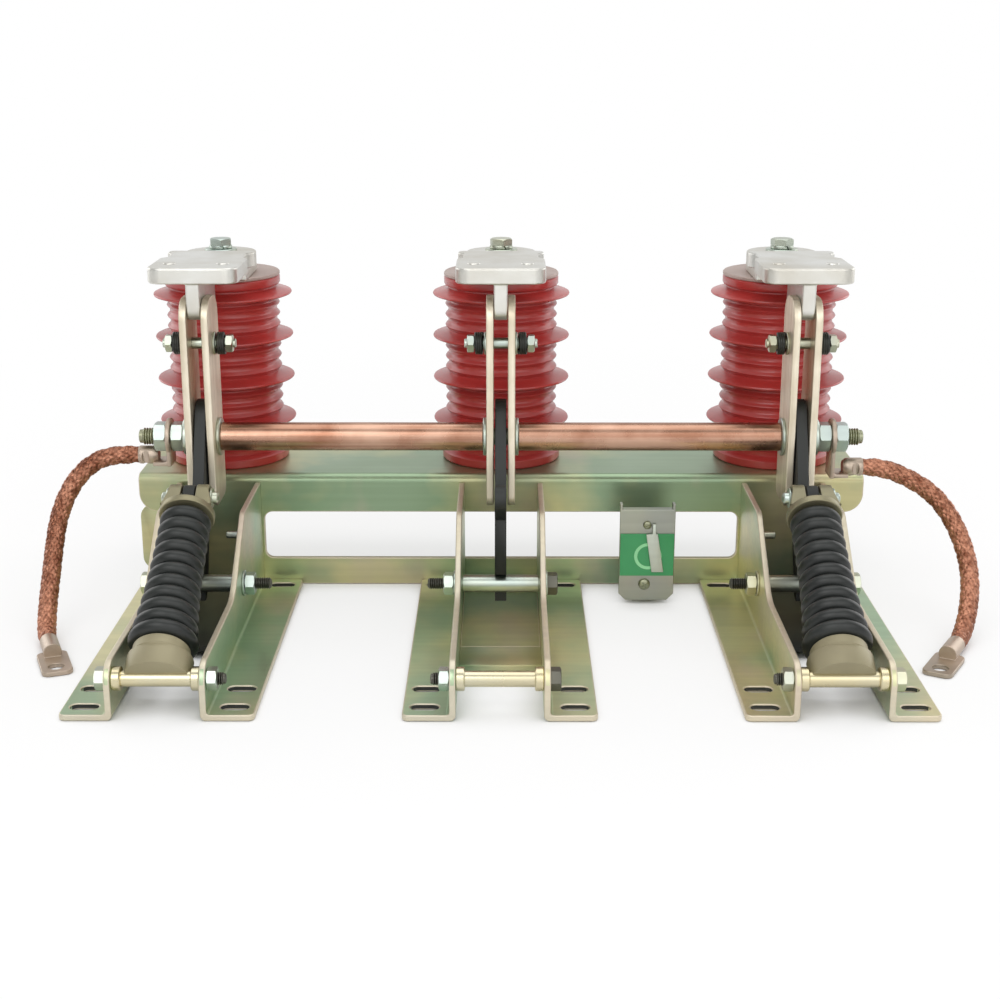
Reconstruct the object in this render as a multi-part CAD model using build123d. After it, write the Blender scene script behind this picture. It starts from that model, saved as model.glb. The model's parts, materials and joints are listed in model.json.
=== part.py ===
"""Three-pole indoor earthing switch, shown with its blades closed.

Millimetres. X runs along the poles, the feet stand on Z = 0 and the front faces -Y.
A sheet base carries three post insulators with fixed contacts; a swing frame of
paired blades, arms and tubes turns about pivot bolts in the three legs.
"""
import os
from math import atan2, degrees, hypot, radians, tan

from build123d import *

# Poles and sheet base
pole_pitch = 210.0
sheet_t = 4.0
leg_half = 31.0
foot_w = 29.0
leg_depth = 249.0
top_depth = 115.0
top_z = 86.0
lip_h = 29.0
rail_h = 21.0
top_bend_in_r = 2.0
window_rim = 2.0
window_corner_r = 6.0
lip_corner_r = 14.0
overrun = 1.0
near_share = 0.1

# Side plates with their foot flanges: "back" is measured from the front edge, "ahead" from the panel
nose_h = 36.0
nose_r = 14.0
shoulder_drop = 6.0
slope_foot_ahead = 131.0
slope_top_ahead = 75.0
slope_foot_r = 34.0
slope_top_r = 14.0
bend_outer_r = 3.5
bend_inner_r = 2.0
foot_corner_r = 4.0
slot_w = 9.0
slot_inner_margin = 6.5
slot_outer_margin = 4.5
slot_first_back = 13.0
slot_second_back = 41.0
slot_rear_ahead = 13.0
floor_ahead = 147.0

# Clearances
hole_clear = 0.2
running_clear = 0.05
seat_clear = 0.3

# Front tie rods
tie_back = 10.0
tie_z = 24.0
tie_bolt_d = 8.0
tie_sleeve_d = 10.0
tie_bushing_d = 15.0
tie_bushing_len = 5.5
tie_nut_af = 13.0
tie_nut_t = 6.5
tie_thread_out = 5.0

# Pivot bolts and the sleeves that turn on them
pivot_ahead = 94.0
pivot_z = 34.0
pivot_bolt_d = 8.0
pivot_sleeve_d = 12.0
pivot_side_gap = 0.5
pivot_nut_af = 14.0
pivot_nut_t = 7.0
pivot_washer_d = 18.0
pivot_washer_t = 1.6
pivot_thread_out = 11.0

# Post insulators
insulator_h = 140.0
insulator_body_r = 40.0
insulator_base_r = 45.0
insulator_base_h = 7.0
insulator_rim_r = 43.0
insulator_rim_h = 6.0
shed_r = 51.5
shed_root_t = 9.0
shed_tip_t = 3.0
shed_first = 31.0
shed_pitch = 32.0
rib_r = 42.2
rib_t = 4.0
rib_pitch = 8.0
cap_r = 43.0
cap_t = 3.0
cap_edge_r = 1.0

# Fixed contacts
contact_half = 31.0
contact_len = 88.0
contact_t = 11.0
contact_corner_r = 10.0
contact_edge_r = 1.5
contact_rise = 9.0
contact_head_len = 50.0
contact_waist_half = 27.0
contact_waist_run = 6.0
contact_waist_len = 18.0
contact_ear_r = 4.0
contact_pad_half = 26.0
contact_pad_t = 15.0
contact_pad_lap = 14.0
fin_clear = 0.3
fin_drop = 26.0
fin_shed_gap = 6.0
fin_inset = 3.0
fin_end_r = 8.0
terminal_washer_r = 12.0
terminal_washer_t = 2.0
terminal_lock_r = 8.5
terminal_lock_t = 2.5
terminal_head_af = 15.0
terminal_head_t = 5.0

# Blades
blade_ahead = 65.0
blade_w = 40.0
blade_t = 5.0
blade_gap = 10.0
blade_low_z = 80.0
blade_top_drop = 11.0
blade_top_r = 15.0
blade_low_r = 8.0

# Swing arms
arm_side_gap = 1.0
arm_hub_r = 13.0
arm_head_r = 14.0
arm_head_z = 140.0
arm_ear_r = 8.5
arm_root_r = 13.0

# Cross tubes and the rod through them
tube_z = 127.0
tube_d = 20.0
tube_play = 0.5
tube_washer_d = 27.0
tube_washer_t = 2.5
cross_rod_d = 12.0
cross_rod_out = 11.0
cross_nut_af = 19.0
cross_nut_t = 9.0
cross_washer_d = 27.0
cross_washer_t = 4.0

# Contact pressure bolts with their springs
pressure_drop = 44.0
pressure_d = 8.0
pressure_nut_t = 5.5
pressure_washer_r = 8.0
pressure_washer_t = 1.5
pressure_spring_r = 7.0
pressure_spring_len = 7.0
pressure_nut_af = 13.0

# Spring cartridges of the outer legs
yoke_pin_ahead = 107.0
yoke_pin_z = 100.0
yoke_pin_d = 8.0
yoke_pin_out = 5.5
yoke_side_gap = 1.0
yoke_top_half = 13.5
yoke_low_half = 17.0
yoke_eye_r = 9.0
yoke_base_r = 18.5
yoke_base_t = 5.0
yoke_base_drop = 14.0
seat_block_half = 21.0
seat_block_rise = 9.0
seat_block_drop = 5.0
seat_disc_r = 18.0
seat_disc_t = 8.0
seat_disc_rise = 14.0
bellows_low_r = 22.0
bellows_high_r = 17.0
bellows_fold = 3.5
bellows_folds = 11
bellows_flare_power = 3

# Upper lugs of the braided straps
lug_t = 3.0
lug_ring_r = 13.0
lug_tongue_w = 18.0
lug_tongue_len = 12.0
lug_barrel_r = 6.5
lug_barrel_len = 12.0
left_lug_drop = 13.5
right_lug_drop = 22.0

# Lower lugs of the braided straps
earth_lug_len = 38.0
earth_lug_w = 20.0
earth_lug_t = 3.0
earth_lug_hole_d = 10.5
earth_barrel_len = 22.0
earth_barrel_r = 6.0
earth_corner_share = 0.25

# Braided straps: diameter and hand-laid routes from the upper lug to the floor
braid_d = 12.0
left_braid_route = [
    (-257.3, 22, 113.5), (-271, 22, 113.5), (-285, 20.5, 111), (-298, 17.5, 102), (-308, 12, 87.5),
    (-313.5, 4, 71), (-314.5, -8, 54), (-314, -23, 37.5), (-313.5, -36.5, 23.5), (-312.5, -46.5, 13),
    (-310.5, -56, 6.5), (-306.5, -66, 6.2),
]
right_braid_route = [
    (257.3, 22, 105), (272, 22, 104.5), (291, 20, 97), (307, 15, 87.5), (319, 7, 73), (326.5, -5, 55),
    (328, -21, 38.5), (324.5, -36, 24.5), (319.5, -48, 13.5), (314, -58.5, 6.5), (308, -69, 6.2),
]
run_share = 0.45

# Position indicator in front of the panel
indicator_x = 106.0
indicator_half = 20.0
indicator_forward = 43.0
indicator_low_z = 3.0
indicator_drop = 14.0
indicator_t = 2.0
indicator_chamfer = 5.0
indicator_flange_h = 4.0
indicator_return = 7.0
indicator_arm_half = 12.0
indicator_arm_z = 12.0
indicator_face_low = 22.0
indicator_face_h = 32.0
indicator_face_t = 1.0
indicator_face_rim = 0.5
pointer_w = 12.0
pointer_shift = 6.0
pointer_t = 2.0

# Places worked out from the sizes above
front_y = -(leg_depth + top_depth) / 2
panel_y = front_y + leg_depth
rear_y = panel_y + top_depth
foot_half = leg_half + foot_w
base_half = pole_pitch + foot_half
insulator_y = (panel_y + rear_y) / 2
top_bend_r = top_bend_in_r + sheet_t
shoulder_h = top_z - shoulder_drop
slot_len = foot_w - slot_inner_margin - slot_outer_margin
slot_x = leg_half + slot_inner_margin + slot_len / 2
tie_y = front_y + tie_back
pivot_y = panel_y - pivot_ahead
shed_count = int((insulator_h - insulator_rim_h - shed_first - shed_root_t / 2) / shed_pitch) + 1
blade_front_y = panel_y - blade_ahead
blade_mid_y = blade_front_y + blade_w / 2
pin_y = panel_y - yoke_pin_ahead
cap_top_z = top_z + insulator_h + cap_t
contact_z = cap_top_z + contact_rise
blade_top_z = contact_z - blade_top_drop
pressure_z = contact_z - pressure_drop
inner_half = leg_half - sheet_t
strip_in = blade_gap / 2
strip_out = strip_in + blade_t
arm_t = blade_gap - 2 * arm_side_gap
tube_bore_d = cross_rod_d + 2 * tube_play
lug_x = pole_pitch + strip_out + cross_washer_t + cross_nut_t
cross_rod_half = lug_x + lug_t + cross_nut_t + cross_rod_out
pressure_half = strip_out + pressure_washer_t + pressure_spring_len + pressure_nut_t
yoke_pin_half = yoke_top_half + yoke_pin_out
yoke_slot_half = arm_t / 2 + yoke_side_gap
indicator_high_z = top_z - indicator_drop
poles = {"left": -pole_pitch, "middle": 0, "right": pole_pitch}
outer_poles = {"left": -pole_pitch, "right": pole_pitch}
cartridge_len = hypot(pin_y - tie_y, yoke_pin_z - tie_z)
cartridge_y_share = (pin_y - tie_y) / cartridge_len
cartridge_z_share = (yoke_pin_z - tie_z) / cartridge_len


def yz_plane(x):
    """Plane across X whose own axes are Y and Z."""
    return Plane(origin=(x, 0, 0), x_dir=(0, 1, 0), z_dir=(1, 0, 0))


def x_rod(radius, x0, x1, y, z):
    """Round bar along X."""
    return extrude(yz_plane(x0) * Pos(y, z) * Circle(radius), x1 - x0)


def x_hex(across, x0, x1, y, z):
    """Hexagon bar along X."""
    return extrude(yz_plane(x0) * Pos(y, z) * RegularPolygon(across / 2, 6, major_radius=False), x1 - x0)


def outline(*points):
    """Flat face with straight sides."""
    return make_face(Polyline(*points, close=True))


def round_corner(face, point, radius):
    """Round the corner of a flat face that lies nearest to a point."""
    corner = face.vertices().sort_by_distance(Vector(*point, 0))[0]
    return fillet(corner, radius)


def edges_along_y(solid, x, z):
    """Edges parallel to Y at one place in X and Z."""
    near = near_share * sheet_t
    return [e for e in solid.edges().filter_by(Axis.Y)
            if abs(e.center().X - x) < near and abs(e.center().Z - z) < near]


def base_frame():
    """Bent sheet: top plate, front panel with its window, and back lip."""
    face = outline((panel_y, 0), (panel_y, top_z), (rear_y, top_z), (rear_y, top_z - lip_h),
                   (rear_y - sheet_t, top_z - lip_h), (rear_y - sheet_t, top_z - sheet_t),
                   (panel_y + sheet_t, top_z - sheet_t), (panel_y + sheet_t, 0))
    for y in (panel_y, rear_y):
        face = round_corner(face, (y, top_z), top_bend_r)
    for y in (panel_y + sheet_t, rear_y - sheet_t):
        face = round_corner(face, (y, top_z - sheet_t), top_bend_r - sheet_t)
    frame = extrude(yz_plane(-base_half) * face, 2 * base_half)
    lip_z = top_z - lip_h
    window_half = pole_pitch - leg_half - window_rim
    window = RectangleRounded(2 * window_half, lip_z - rail_h, window_corner_r)
    window_plane = Plane(origin=(0, panel_y, (lip_z + rail_h) / 2), x_dir=(1, 0, 0), z_dir=(0, -1, 0))
    frame -= extrude(window_plane * window, sheet_t + overrun, both=True)
    for side in (-1, 1):
        end_x = side * (pole_pitch + leg_half + base_half + overrun) / 2
        end_cut = Box(foot_w + overrun, 2 * (sheet_t + overrun), 2 * lip_z)
        frame -= Pos(end_x, panel_y, 0) * end_cut
    for x in (-base_half, base_half):
        frame = fillet(edges_along_y(frame, x, lip_z), lip_corner_r)
    return frame


def side_plate():
    """Right-hand side plate of a leg, bent out at the floor into a slotted foot flange."""
    slope_foot_y = panel_y - slope_foot_ahead
    slope_top_y = panel_y - slope_top_ahead
    face = outline((front_y, 0), (front_y, nose_h), (slope_foot_y, nose_h),
                   (slope_top_y, shoulder_h), (panel_y, shoulder_h), (panel_y, 0))
    for y, z, radius in ((front_y, nose_h, nose_r), (slope_foot_y, nose_h, slope_foot_r),
                         (slope_top_y, shoulder_h, slope_top_r)):
        face = round_corner(face, (y, z), radius)
    plate = extrude(yz_plane(inner_half) * face, sheet_t)
    foot = outline((inner_half, front_y), (foot_half, front_y), (foot_half, panel_y), (inner_half, panel_y))
    for y in (front_y, panel_y):
        foot = round_corner(foot, (foot_half, y), foot_corner_r)
    for y in (front_y + slot_first_back, front_y + slot_second_back, panel_y - slot_rear_ahead):
        foot -= Pos(slot_x, y) * SlotOverall(slot_len, slot_w)
    plate += extrude(foot, sheet_t)
    plate = fillet(edges_along_y(plate, inner_half, 0), bend_outer_r)
    plate = fillet(edges_along_y(plate, leg_half, sheet_t), bend_inner_r)
    for radius, y, z in ((tie_bolt_d / 2, tie_y, tie_z), (pivot_bolt_d / 2, pivot_y, pivot_z)):
        plate -= x_rod(radius + hole_clear, 0, foot_half, y, z)
    return plate


def leg_floor():
    """Web between the two side plates of a leg, just above the floor."""
    floor_y = panel_y - floor_ahead
    web = Box(2 * inner_half, panel_y - floor_y, sheet_t)
    return Pos(0, (floor_y + panel_y) / 2, sheet_t + sheet_t / 2) * web


def tie_rod():
    """Bolt through the noses of a leg, with sleeve, bushings, head and nut."""
    rod = x_rod(tie_sleeve_d / 2, -inner_half, inner_half, tie_y, tie_z)
    for side in (-1, 1):
        inner = side * (inner_half - tie_bushing_len)
        rod += x_rod(tie_bushing_d / 2, min(inner, side * inner_half), max(inner, side * inner_half),
                     tie_y, tie_z)
        nut = side * (leg_half + tie_nut_t)
        rod += x_hex(tie_nut_af, min(nut, side * leg_half), max(nut, side * leg_half), tie_y, tie_z)
    return rod + x_rod(tie_bolt_d / 2, -leg_half - tie_nut_t - tie_thread_out, leg_half, tie_y, tie_z)


def pivot_bolt():
    """Pivot bolt of a leg, with washers, head and locked nut."""
    thread_end = leg_half + pivot_washer_t + pivot_nut_t + pivot_thread_out
    bolt = x_rod(pivot_bolt_d / 2, -thread_end, leg_half, pivot_y, pivot_z)
    for side in (-1, 1):
        washer = side * (leg_half + pivot_washer_t)
        nut = washer + side * pivot_nut_t
        bolt += x_rod(pivot_washer_d / 2, min(washer, side * leg_half), max(washer, side * leg_half),
                      pivot_y, pivot_z)
        bolt += x_hex(pivot_nut_af, min(washer, nut), max(washer, nut), pivot_y, pivot_z)
    return bolt


def insulator():
    """Post insulator: large sheds with fine ribs between them."""
    radii = [(0, 0), (insulator_base_r, 0), (insulator_base_r, insulator_base_h),
             (insulator_body_r, insulator_base_h)]
    ribs_between = int(shed_pitch / rib_pitch) - 1
    for shed in range(shed_count):
        shed_z = shed_first + shed * shed_pitch
        for rib in range(ribs_between if shed else ribs_between - 1, 0, -1):
            rib_z = shed_z - rib * rib_pitch
            radii += [(insulator_body_r, rib_z - rib_t / 2), (rib_r, rib_z),
                      (insulator_body_r, rib_z + rib_t / 2)]
        radii += [(insulator_body_r, shed_z - shed_root_t / 2), (shed_r, shed_z - shed_tip_t / 2),
                  (shed_r, shed_z + shed_tip_t / 2), (insulator_body_r, shed_z + shed_root_t / 2)]
    rim_z = insulator_h - insulator_rim_h
    radii += [(insulator_body_r, rim_z), (insulator_rim_r, rim_z),
              (insulator_rim_r, insulator_h), (0, insulator_h)]
    profile = make_face(Polyline(*radii, close=True))
    return Pos(0, insulator_y, top_z) * revolve(Plane.XZ * profile, Axis.Z)


def insulator_cap():
    """Metal disc on top of an insulator."""
    disc = Cylinder(cap_r, cap_t)
    disc = fillet(disc.faces().sort_by(Axis.Z)[-1].edges(), cap_edge_r)
    return Pos(0, insulator_y, cap_top_z - cap_t / 2) * disc


def contact_plate():
    """Outline of a contact's plate: wide head, waist, and two rear ears."""
    head_end = blade_front_y + contact_head_len
    waist_start = head_end + contact_waist_run
    waist_end = waist_start + contact_waist_len
    ear_start = waist_end + contact_waist_run
    rear = blade_front_y + contact_len
    side = [(contact_half, blade_front_y), (contact_half, head_end), (contact_waist_half, waist_start),
            (contact_waist_half, waist_end), (contact_half, ear_start), (contact_half, rear)]
    plate = outline(*side, *[(-x, y) for x, y in reversed(side)])
    for x in (-contact_half, contact_half):
        plate = round_corner(plate, (x, blade_front_y), contact_corner_r)
        plate = round_corner(plate, (x, rear), contact_ear_r)
    return plate


def fixed_contact():
    """Cast contact: plate over the blades, pad on the insulator and a fin between the blades."""
    casting = extrude(Pos(0, 0, contact_z) * contact_plate(), contact_t)
    casting = fillet(casting.faces().sort_by(Axis.Z)[-1].edges(), contact_edge_r)
    pad_front = blade_front_y + contact_len - contact_pad_lap
    neck = outline((-contact_pad_half, pad_front), (contact_pad_half, pad_front),
                   (contact_pad_half, insulator_y), (-contact_pad_half, insulator_y))
    pad = neck + Pos(0, insulator_y) * Circle(contact_pad_half)
    casting += extrude(Pos(0, 0, cap_top_z) * pad, contact_pad_t)
    fin_half = blade_gap / 2 - fin_clear
    fin_y0 = blade_front_y + fin_inset
    fin_y1 = insulator_y - shed_r - fin_shed_gap
    fin_low = contact_z - fin_drop
    fin = outline((fin_y0, contact_z), (fin_y0, fin_low), (fin_y1, fin_low), (fin_y1, contact_z))
    for y in (fin_y0, fin_y1):
        fin = round_corner(fin, (y, fin_low), fin_end_r)
    casting += extrude(yz_plane(-fin_half) * fin, 2 * fin_half)
    return casting


def terminal_bolt():
    """Hexagon bolt with a flat and a spring washer on the pad of a fixed contact."""
    washer_z = cap_top_z + contact_pad_t
    lock_z = washer_z + terminal_washer_t
    head_z = lock_z + terminal_lock_t
    washer = extrude(Pos(0, insulator_y, washer_z) * Circle(terminal_washer_r), terminal_washer_t)
    lock = extrude(Pos(0, insulator_y, lock_z) * Circle(terminal_lock_r), terminal_lock_t)
    hexagon = RegularPolygon(terminal_head_af / 2, 6, major_radius=False)
    return washer + lock + extrude(Pos(0, insulator_y, head_z) * hexagon, terminal_head_t)


def blade_pair():
    """Two contact strips side by side, drilled for the cross rod and the pressure bolt."""
    strip = outline((blade_front_y, blade_low_z), (blade_front_y, blade_top_z),
                    (blade_front_y + blade_w, blade_top_z), (blade_front_y + blade_w, blade_low_z))
    for y in (blade_front_y, blade_front_y + blade_w):
        strip = round_corner(strip, (y, blade_top_z), blade_top_r)
        strip = round_corner(strip, (y, blade_low_z), blade_low_r)
    strip -= Pos(blade_mid_y, tube_z) * Circle(cross_rod_d / 2 + running_clear)
    strip -= Pos(blade_mid_y, pressure_z) * Circle(pressure_d / 2 + running_clear)
    left = extrude(yz_plane(-strip_out) * strip, blade_t)
    right = extrude(yz_plane(strip_in) * strip, blade_t)
    return [left, right]


def bar_between(start, start_r, end, end_r):
    """Flat bar with round ends of two sizes."""
    ends = Pos(*start) * Circle(start_r) + Pos(*end) * Circle(end_r)
    return make_hull(ends.edges())


def swing_arm():
    """Bell-crank lever: bar from the pivot up between the blades, with an ear for the spring yoke."""
    hub = (pivot_y, pivot_z)
    head = (blade_mid_y, arm_head_z)
    ear = (pin_y, yoke_pin_z)
    bar_len = hypot(head[0] - hub[0], head[1] - hub[1])
    along = ((ear[0] - hub[0]) * (head[0] - hub[0]) + (ear[1] - hub[1]) * (head[1] - hub[1])) / bar_len
    root_share = along / bar_len
    root = (hub[0] + root_share * (head[0] - hub[0]), hub[1] + root_share * (head[1] - hub[1]))
    lever = bar_between(hub, arm_hub_r, head, arm_head_r) + bar_between(ear, arm_ear_r, root, arm_root_r)
    lever -= Pos(*hub) * Circle(pivot_sleeve_d / 2 + running_clear)
    lever -= Pos(*ear) * Circle(yoke_pin_d / 2 + running_clear)
    lever -= Pos(blade_mid_y, tube_z) * Circle(cross_rod_d / 2 + running_clear)
    return extrude(yz_plane(-arm_t / 2) * lever, arm_t)


def pivot_sleeve():
    """Sleeve welded to a swing arm, turning on the pivot bolt."""
    half = inner_half - pivot_side_gap
    sleeve = x_rod(pivot_sleeve_d / 2, -half, half, pivot_y, pivot_z)
    return sleeve - x_rod(pivot_bolt_d / 2 + running_clear, -half, half, pivot_y, pivot_z)


def cross_tube():
    """Plain tube between two poles, held by a washer at each end."""
    x0 = strip_out + tube_washer_t
    x1 = pole_pitch - x0
    tube = x_rod(tube_d / 2, x0, x1, blade_mid_y, tube_z)
    return tube - x_rod(tube_bore_d / 2, x0, x1, blade_mid_y, tube_z)


def cross_rod():
    """Threaded rod through tubes, blades and arms, with the tubes' washers and nuts at both ends."""
    rod = x_rod(cross_rod_d / 2, -cross_rod_half, cross_rod_half, blade_mid_y, tube_z)
    for side in (-1, 1):
        face = side * (pole_pitch + strip_out)
        washer = face + side * cross_washer_t
        nut = side * lug_x
        lock = nut + side * lug_t
        lock_end = lock + side * cross_nut_t
        rod += x_rod(cross_washer_d / 2, min(face, washer), max(face, washer), blade_mid_y, tube_z)
        rod += x_hex(cross_nut_af, min(washer, nut), max(washer, nut), blade_mid_y, tube_z)
        rod += x_hex(cross_nut_af, min(lock, lock_end), max(lock, lock_end), blade_mid_y, tube_z)
        for blade, inward in ((side * strip_out, side), (side * (pole_pitch - strip_out), -side)):
            seat = blade + inward * tube_washer_t
            rod += x_rod(tube_washer_d / 2, min(blade, seat), max(blade, seat), blade_mid_y, tube_z)
    return rod


def pressure_bolt():
    """Bolt that presses a pair of blades together, with washers and nuts."""
    bolt = x_rod(pressure_d / 2, -pressure_half, pressure_half, blade_mid_y, pressure_z)
    washer = strip_out + pressure_washer_t
    spring = washer + pressure_spring_len
    for start, end in ((strip_out, washer), (-washer, -strip_out)):
        bolt += x_rod(pressure_washer_r, start, end, blade_mid_y, pressure_z)
    for start, end in ((spring, pressure_half), (-pressure_half, -spring)):
        bolt += x_hex(pressure_nut_af, start, end, blade_mid_y, pressure_z)
    return bolt


def pressure_springs():
    """Stiff springs on both sides of a pair of blades."""
    springs = []
    start = strip_out + pressure_washer_t
    end = start + pressure_spring_len
    for side in (-1, 1):
        x0, x1 = min(side * start, side * end), max(side * start, side * end)
        ring = x_rod(pressure_spring_r, x0, x1, blade_mid_y, pressure_z)
        springs.append(ring - x_rod(pressure_d / 2 + running_clear, x0, x1, blade_mid_y, pressure_z))
    return springs


def cartridge_plane():
    """Plane on the tie rod whose normal points along the spring cartridge to the yoke pin."""
    return Plane(origin=(0, tie_y, tie_z), x_dir=(1, 0, 0), z_dir=(0, cartridge_y_share, cartridge_z_share))


def spring_seat():
    """Lower spring seat: a saddle behind the tie rod with a disc for the spring."""
    block = Box(2 * seat_block_half, seat_block_rise + seat_block_drop, seat_disc_rise)
    block = Pos(0, (seat_block_drop - seat_block_rise) / 2, seat_disc_rise / 2) * block
    disc = Pos(0, 0, seat_disc_rise) * extrude(Circle(seat_disc_r), seat_disc_t)
    hole = Circle(tie_sleeve_d / 2 + running_clear)
    bore = extrude(yz_plane(-seat_block_half) * hole, 2 * seat_block_half)
    return cartridge_plane() * (block + disc - bore)


def spring_yoke():
    """Upper spring yoke: base disc and a tapered fork that straddles the swing arm's ear."""
    base_z = cartridge_len - yoke_base_drop
    tip_z = cartridge_len + yoke_eye_r
    front = outline((-yoke_low_half, base_z), (yoke_low_half, base_z),
                    (yoke_top_half, cartridge_len), (yoke_top_half, tip_z),
                    (-yoke_top_half, tip_z), (-yoke_top_half, cartridge_len))
    side = (Pos(0, cartridge_len) * Circle(yoke_eye_r)
            + Pos(0, cartridge_len - yoke_base_drop / 2) * Rectangle(2 * yoke_eye_r, yoke_base_drop))
    fork = extrude(Plane.XZ * front, yoke_eye_r, both=True)
    fork &= extrude(yz_plane(-yoke_low_half) * side, 2 * yoke_low_half)
    slot = Box(2 * yoke_slot_half, 2 * (yoke_eye_r + overrun), 2 * (yoke_base_drop + yoke_eye_r))
    fork -= Pos(0, 0, base_z + yoke_base_drop + yoke_eye_r) * slot
    bore = Circle(yoke_pin_d / 2 + running_clear)
    fork -= extrude(yz_plane(-yoke_low_half) * Pos(0, cartridge_len) * bore, 2 * yoke_low_half)
    base = Pos(0, 0, base_z - yoke_base_t) * extrude(Circle(yoke_base_r), yoke_base_t)
    return cartridge_plane() * (base + fork)


def spring_bellows():
    """Corrugated rubber cover of the compression spring."""
    low = seat_disc_rise + seat_disc_t + seat_clear
    high = cartridge_len - yoke_base_drop - yoke_base_t - seat_clear
    pitch = (high - low) / bellows_folds
    points = [(0, low)]
    for fold in range(bellows_folds):
        flare_share = (1 - fold / (bellows_folds - 1)) ** bellows_flare_power
        crest = bellows_high_r + (bellows_low_r - bellows_high_r) * flare_share
        points += [(crest - bellows_fold, low + fold * pitch), (crest, low + fold * pitch + pitch / 2)]
    points += [(bellows_high_r - bellows_fold, high), (0, high)]
    body = revolve(Plane.XZ * make_face(Polyline(*points, close=True)), Axis.Z)
    return cartridge_plane() * body


def yoke_pin():
    """Pin through a swing arm's ear and the cheeks of the yoke."""
    return x_rod(yoke_pin_d / 2, -yoke_pin_half, yoke_pin_half, pin_y, yoke_pin_z)


def upper_lug(side, drop):
    """Angled cable lug on the end of the cross rod, its barrel pointing outwards."""
    ring_x = side * lug_x
    low_z = tube_z - drop - lug_barrel_r
    ring = Pos(blade_mid_y, tube_z) * Circle(lug_ring_r)
    ring += Pos(blade_mid_y, (tube_z + low_z) / 2) * Rectangle(lug_tongue_w, tube_z - low_z)
    ring -= Pos(blade_mid_y, tube_z) * Circle(cross_rod_d / 2 + running_clear)
    lug = extrude(yz_plane(min(ring_x, ring_x + side * lug_t)) * ring, lug_t)
    tongue_x = ring_x + side * lug_tongue_len / 2
    lug += Pos(tongue_x, blade_mid_y, low_z + lug_t / 2) * Box(lug_tongue_len, lug_tongue_w, lug_t)
    barrel_x = ring_x + side * lug_tongue_len
    barrel_end = barrel_x + side * lug_barrel_len
    low_x, high_x = min(barrel_x, barrel_end), max(barrel_x, barrel_end)
    return lug + x_rod(lug_barrel_r, low_x, high_x, blade_mid_y, tube_z - drop)


def braid(route):
    """Round strap along straight runs joined by tangent arcs."""
    points = [Vector(*point) for point in route]
    radii = []
    for before, here, after in zip(points, points[1:], points[2:]):
        turn = (here - before).get_angle(after - here)
        shorter = min((here - before).length, (after - here).length)
        radii.append(run_share * shorter / tan(radians(turn) / 2))
    print("braid radii", [round(radius) for radius in radii])
    path = FilletPolyline(*points, radius=radii)
    section = Plane(origin=points[0], z_dir=points[1] - points[0]) * Circle(braid_d / 2)
    return sweep(section, path)


def earth_lug(route):
    """Tinned lug on the floor end of a strap: crimp barrel and drilled tongue."""
    end = Vector(*route[-1])
    heading = end - Vector(*route[-2])
    turn = degrees(atan2(heading.Y, heading.X))
    barrel = Pos(seat_clear, 0, end.Z) * extrude(yz_plane(0) * Circle(earth_barrel_r), earth_barrel_len)
    tongue_x = seat_clear + earth_barrel_len / 2
    tongue = Box(earth_lug_len, earth_lug_w, earth_lug_t)
    tongue = fillet(tongue.edges().filter_by(Axis.Z), earth_corner_share * earth_lug_w)
    tongue = Pos(tongue_x + earth_lug_len / 2, 0, earth_lug_t / 2) * tongue
    hole_x = tongue_x + earth_lug_len - earth_lug_w / 2
    lug = barrel + tongue
    lug -= Pos(hole_x, 0, 0) * Cylinder(earth_lug_hole_d / 2, 2 * earth_barrel_r)
    return Pos(end.X, end.Y, 0) * Rot(0, 0, turn) * lug


def indicator_bracket():
    """Upright plate with cut lower corners and a flanged upper return, on an arm from the front rail."""
    face_y = panel_y - indicator_forward
    plate = outline((-indicator_half, indicator_low_z + indicator_chamfer),
                    (-indicator_half + indicator_chamfer, indicator_low_z),
                    (indicator_half - indicator_chamfer, indicator_low_z),
                    (indicator_half, indicator_low_z + indicator_chamfer),
                    (indicator_half, indicator_high_z), (-indicator_half, indicator_high_z))
    upright = Plane(origin=(indicator_x, face_y + indicator_t, 0), x_dir=(1, 0, 0), z_dir=(0, -1, 0))
    bracket = extrude(upright * plate, indicator_t)
    arm = Box(2 * indicator_arm_half, indicator_forward, indicator_t)
    bracket += Pos(indicator_x, face_y + indicator_forward / 2, indicator_arm_z) * arm
    shelf = Box(2 * indicator_half, indicator_return, indicator_t)
    shelf_y = face_y + indicator_return / 2
    bracket += Pos(indicator_x, shelf_y, indicator_high_z - indicator_t / 2) * shelf
    flange = Box(indicator_t, indicator_return, indicator_flange_h)
    flange_z = indicator_high_z + indicator_flange_h / 2
    for side in (-1, 1):
        flange_x = indicator_x + side * (indicator_half - indicator_t / 2)
        bracket += Pos(flange_x, shelf_y, flange_z) * flange
    return bracket


def indicator_face():
    """Coloured field on the indicator plate."""
    width = 2 * (indicator_half - indicator_face_rim)
    face_y = panel_y - indicator_forward
    z = indicator_face_low + indicator_face_h / 2
    field = Box(width, indicator_face_t, indicator_face_h)
    return Pos(indicator_x, face_y - indicator_face_t / 2, z) * field


def indicator_pointer():
    """Flat pointer bar lying on the coloured field."""
    face_y = panel_y - indicator_forward - indicator_face_t
    z = indicator_face_low + indicator_face_h / 2
    bar = Box(pointer_w, pointer_t, indicator_face_h)
    return Pos(indicator_x + pointer_shift, face_y - pointer_t / 2, z) * bar


def save(name, *solids):
    """Write one node from its solids."""
    export_step(solids[0] if len(solids) == 1 else Compound(children=list(solids)), f"parts/{name}.step")


def at_poles(solids, places):
    """Copies of one or more solids at several poles."""
    return [Pos(x, 0, 0) * solid for x in places for solid in solids]


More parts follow.
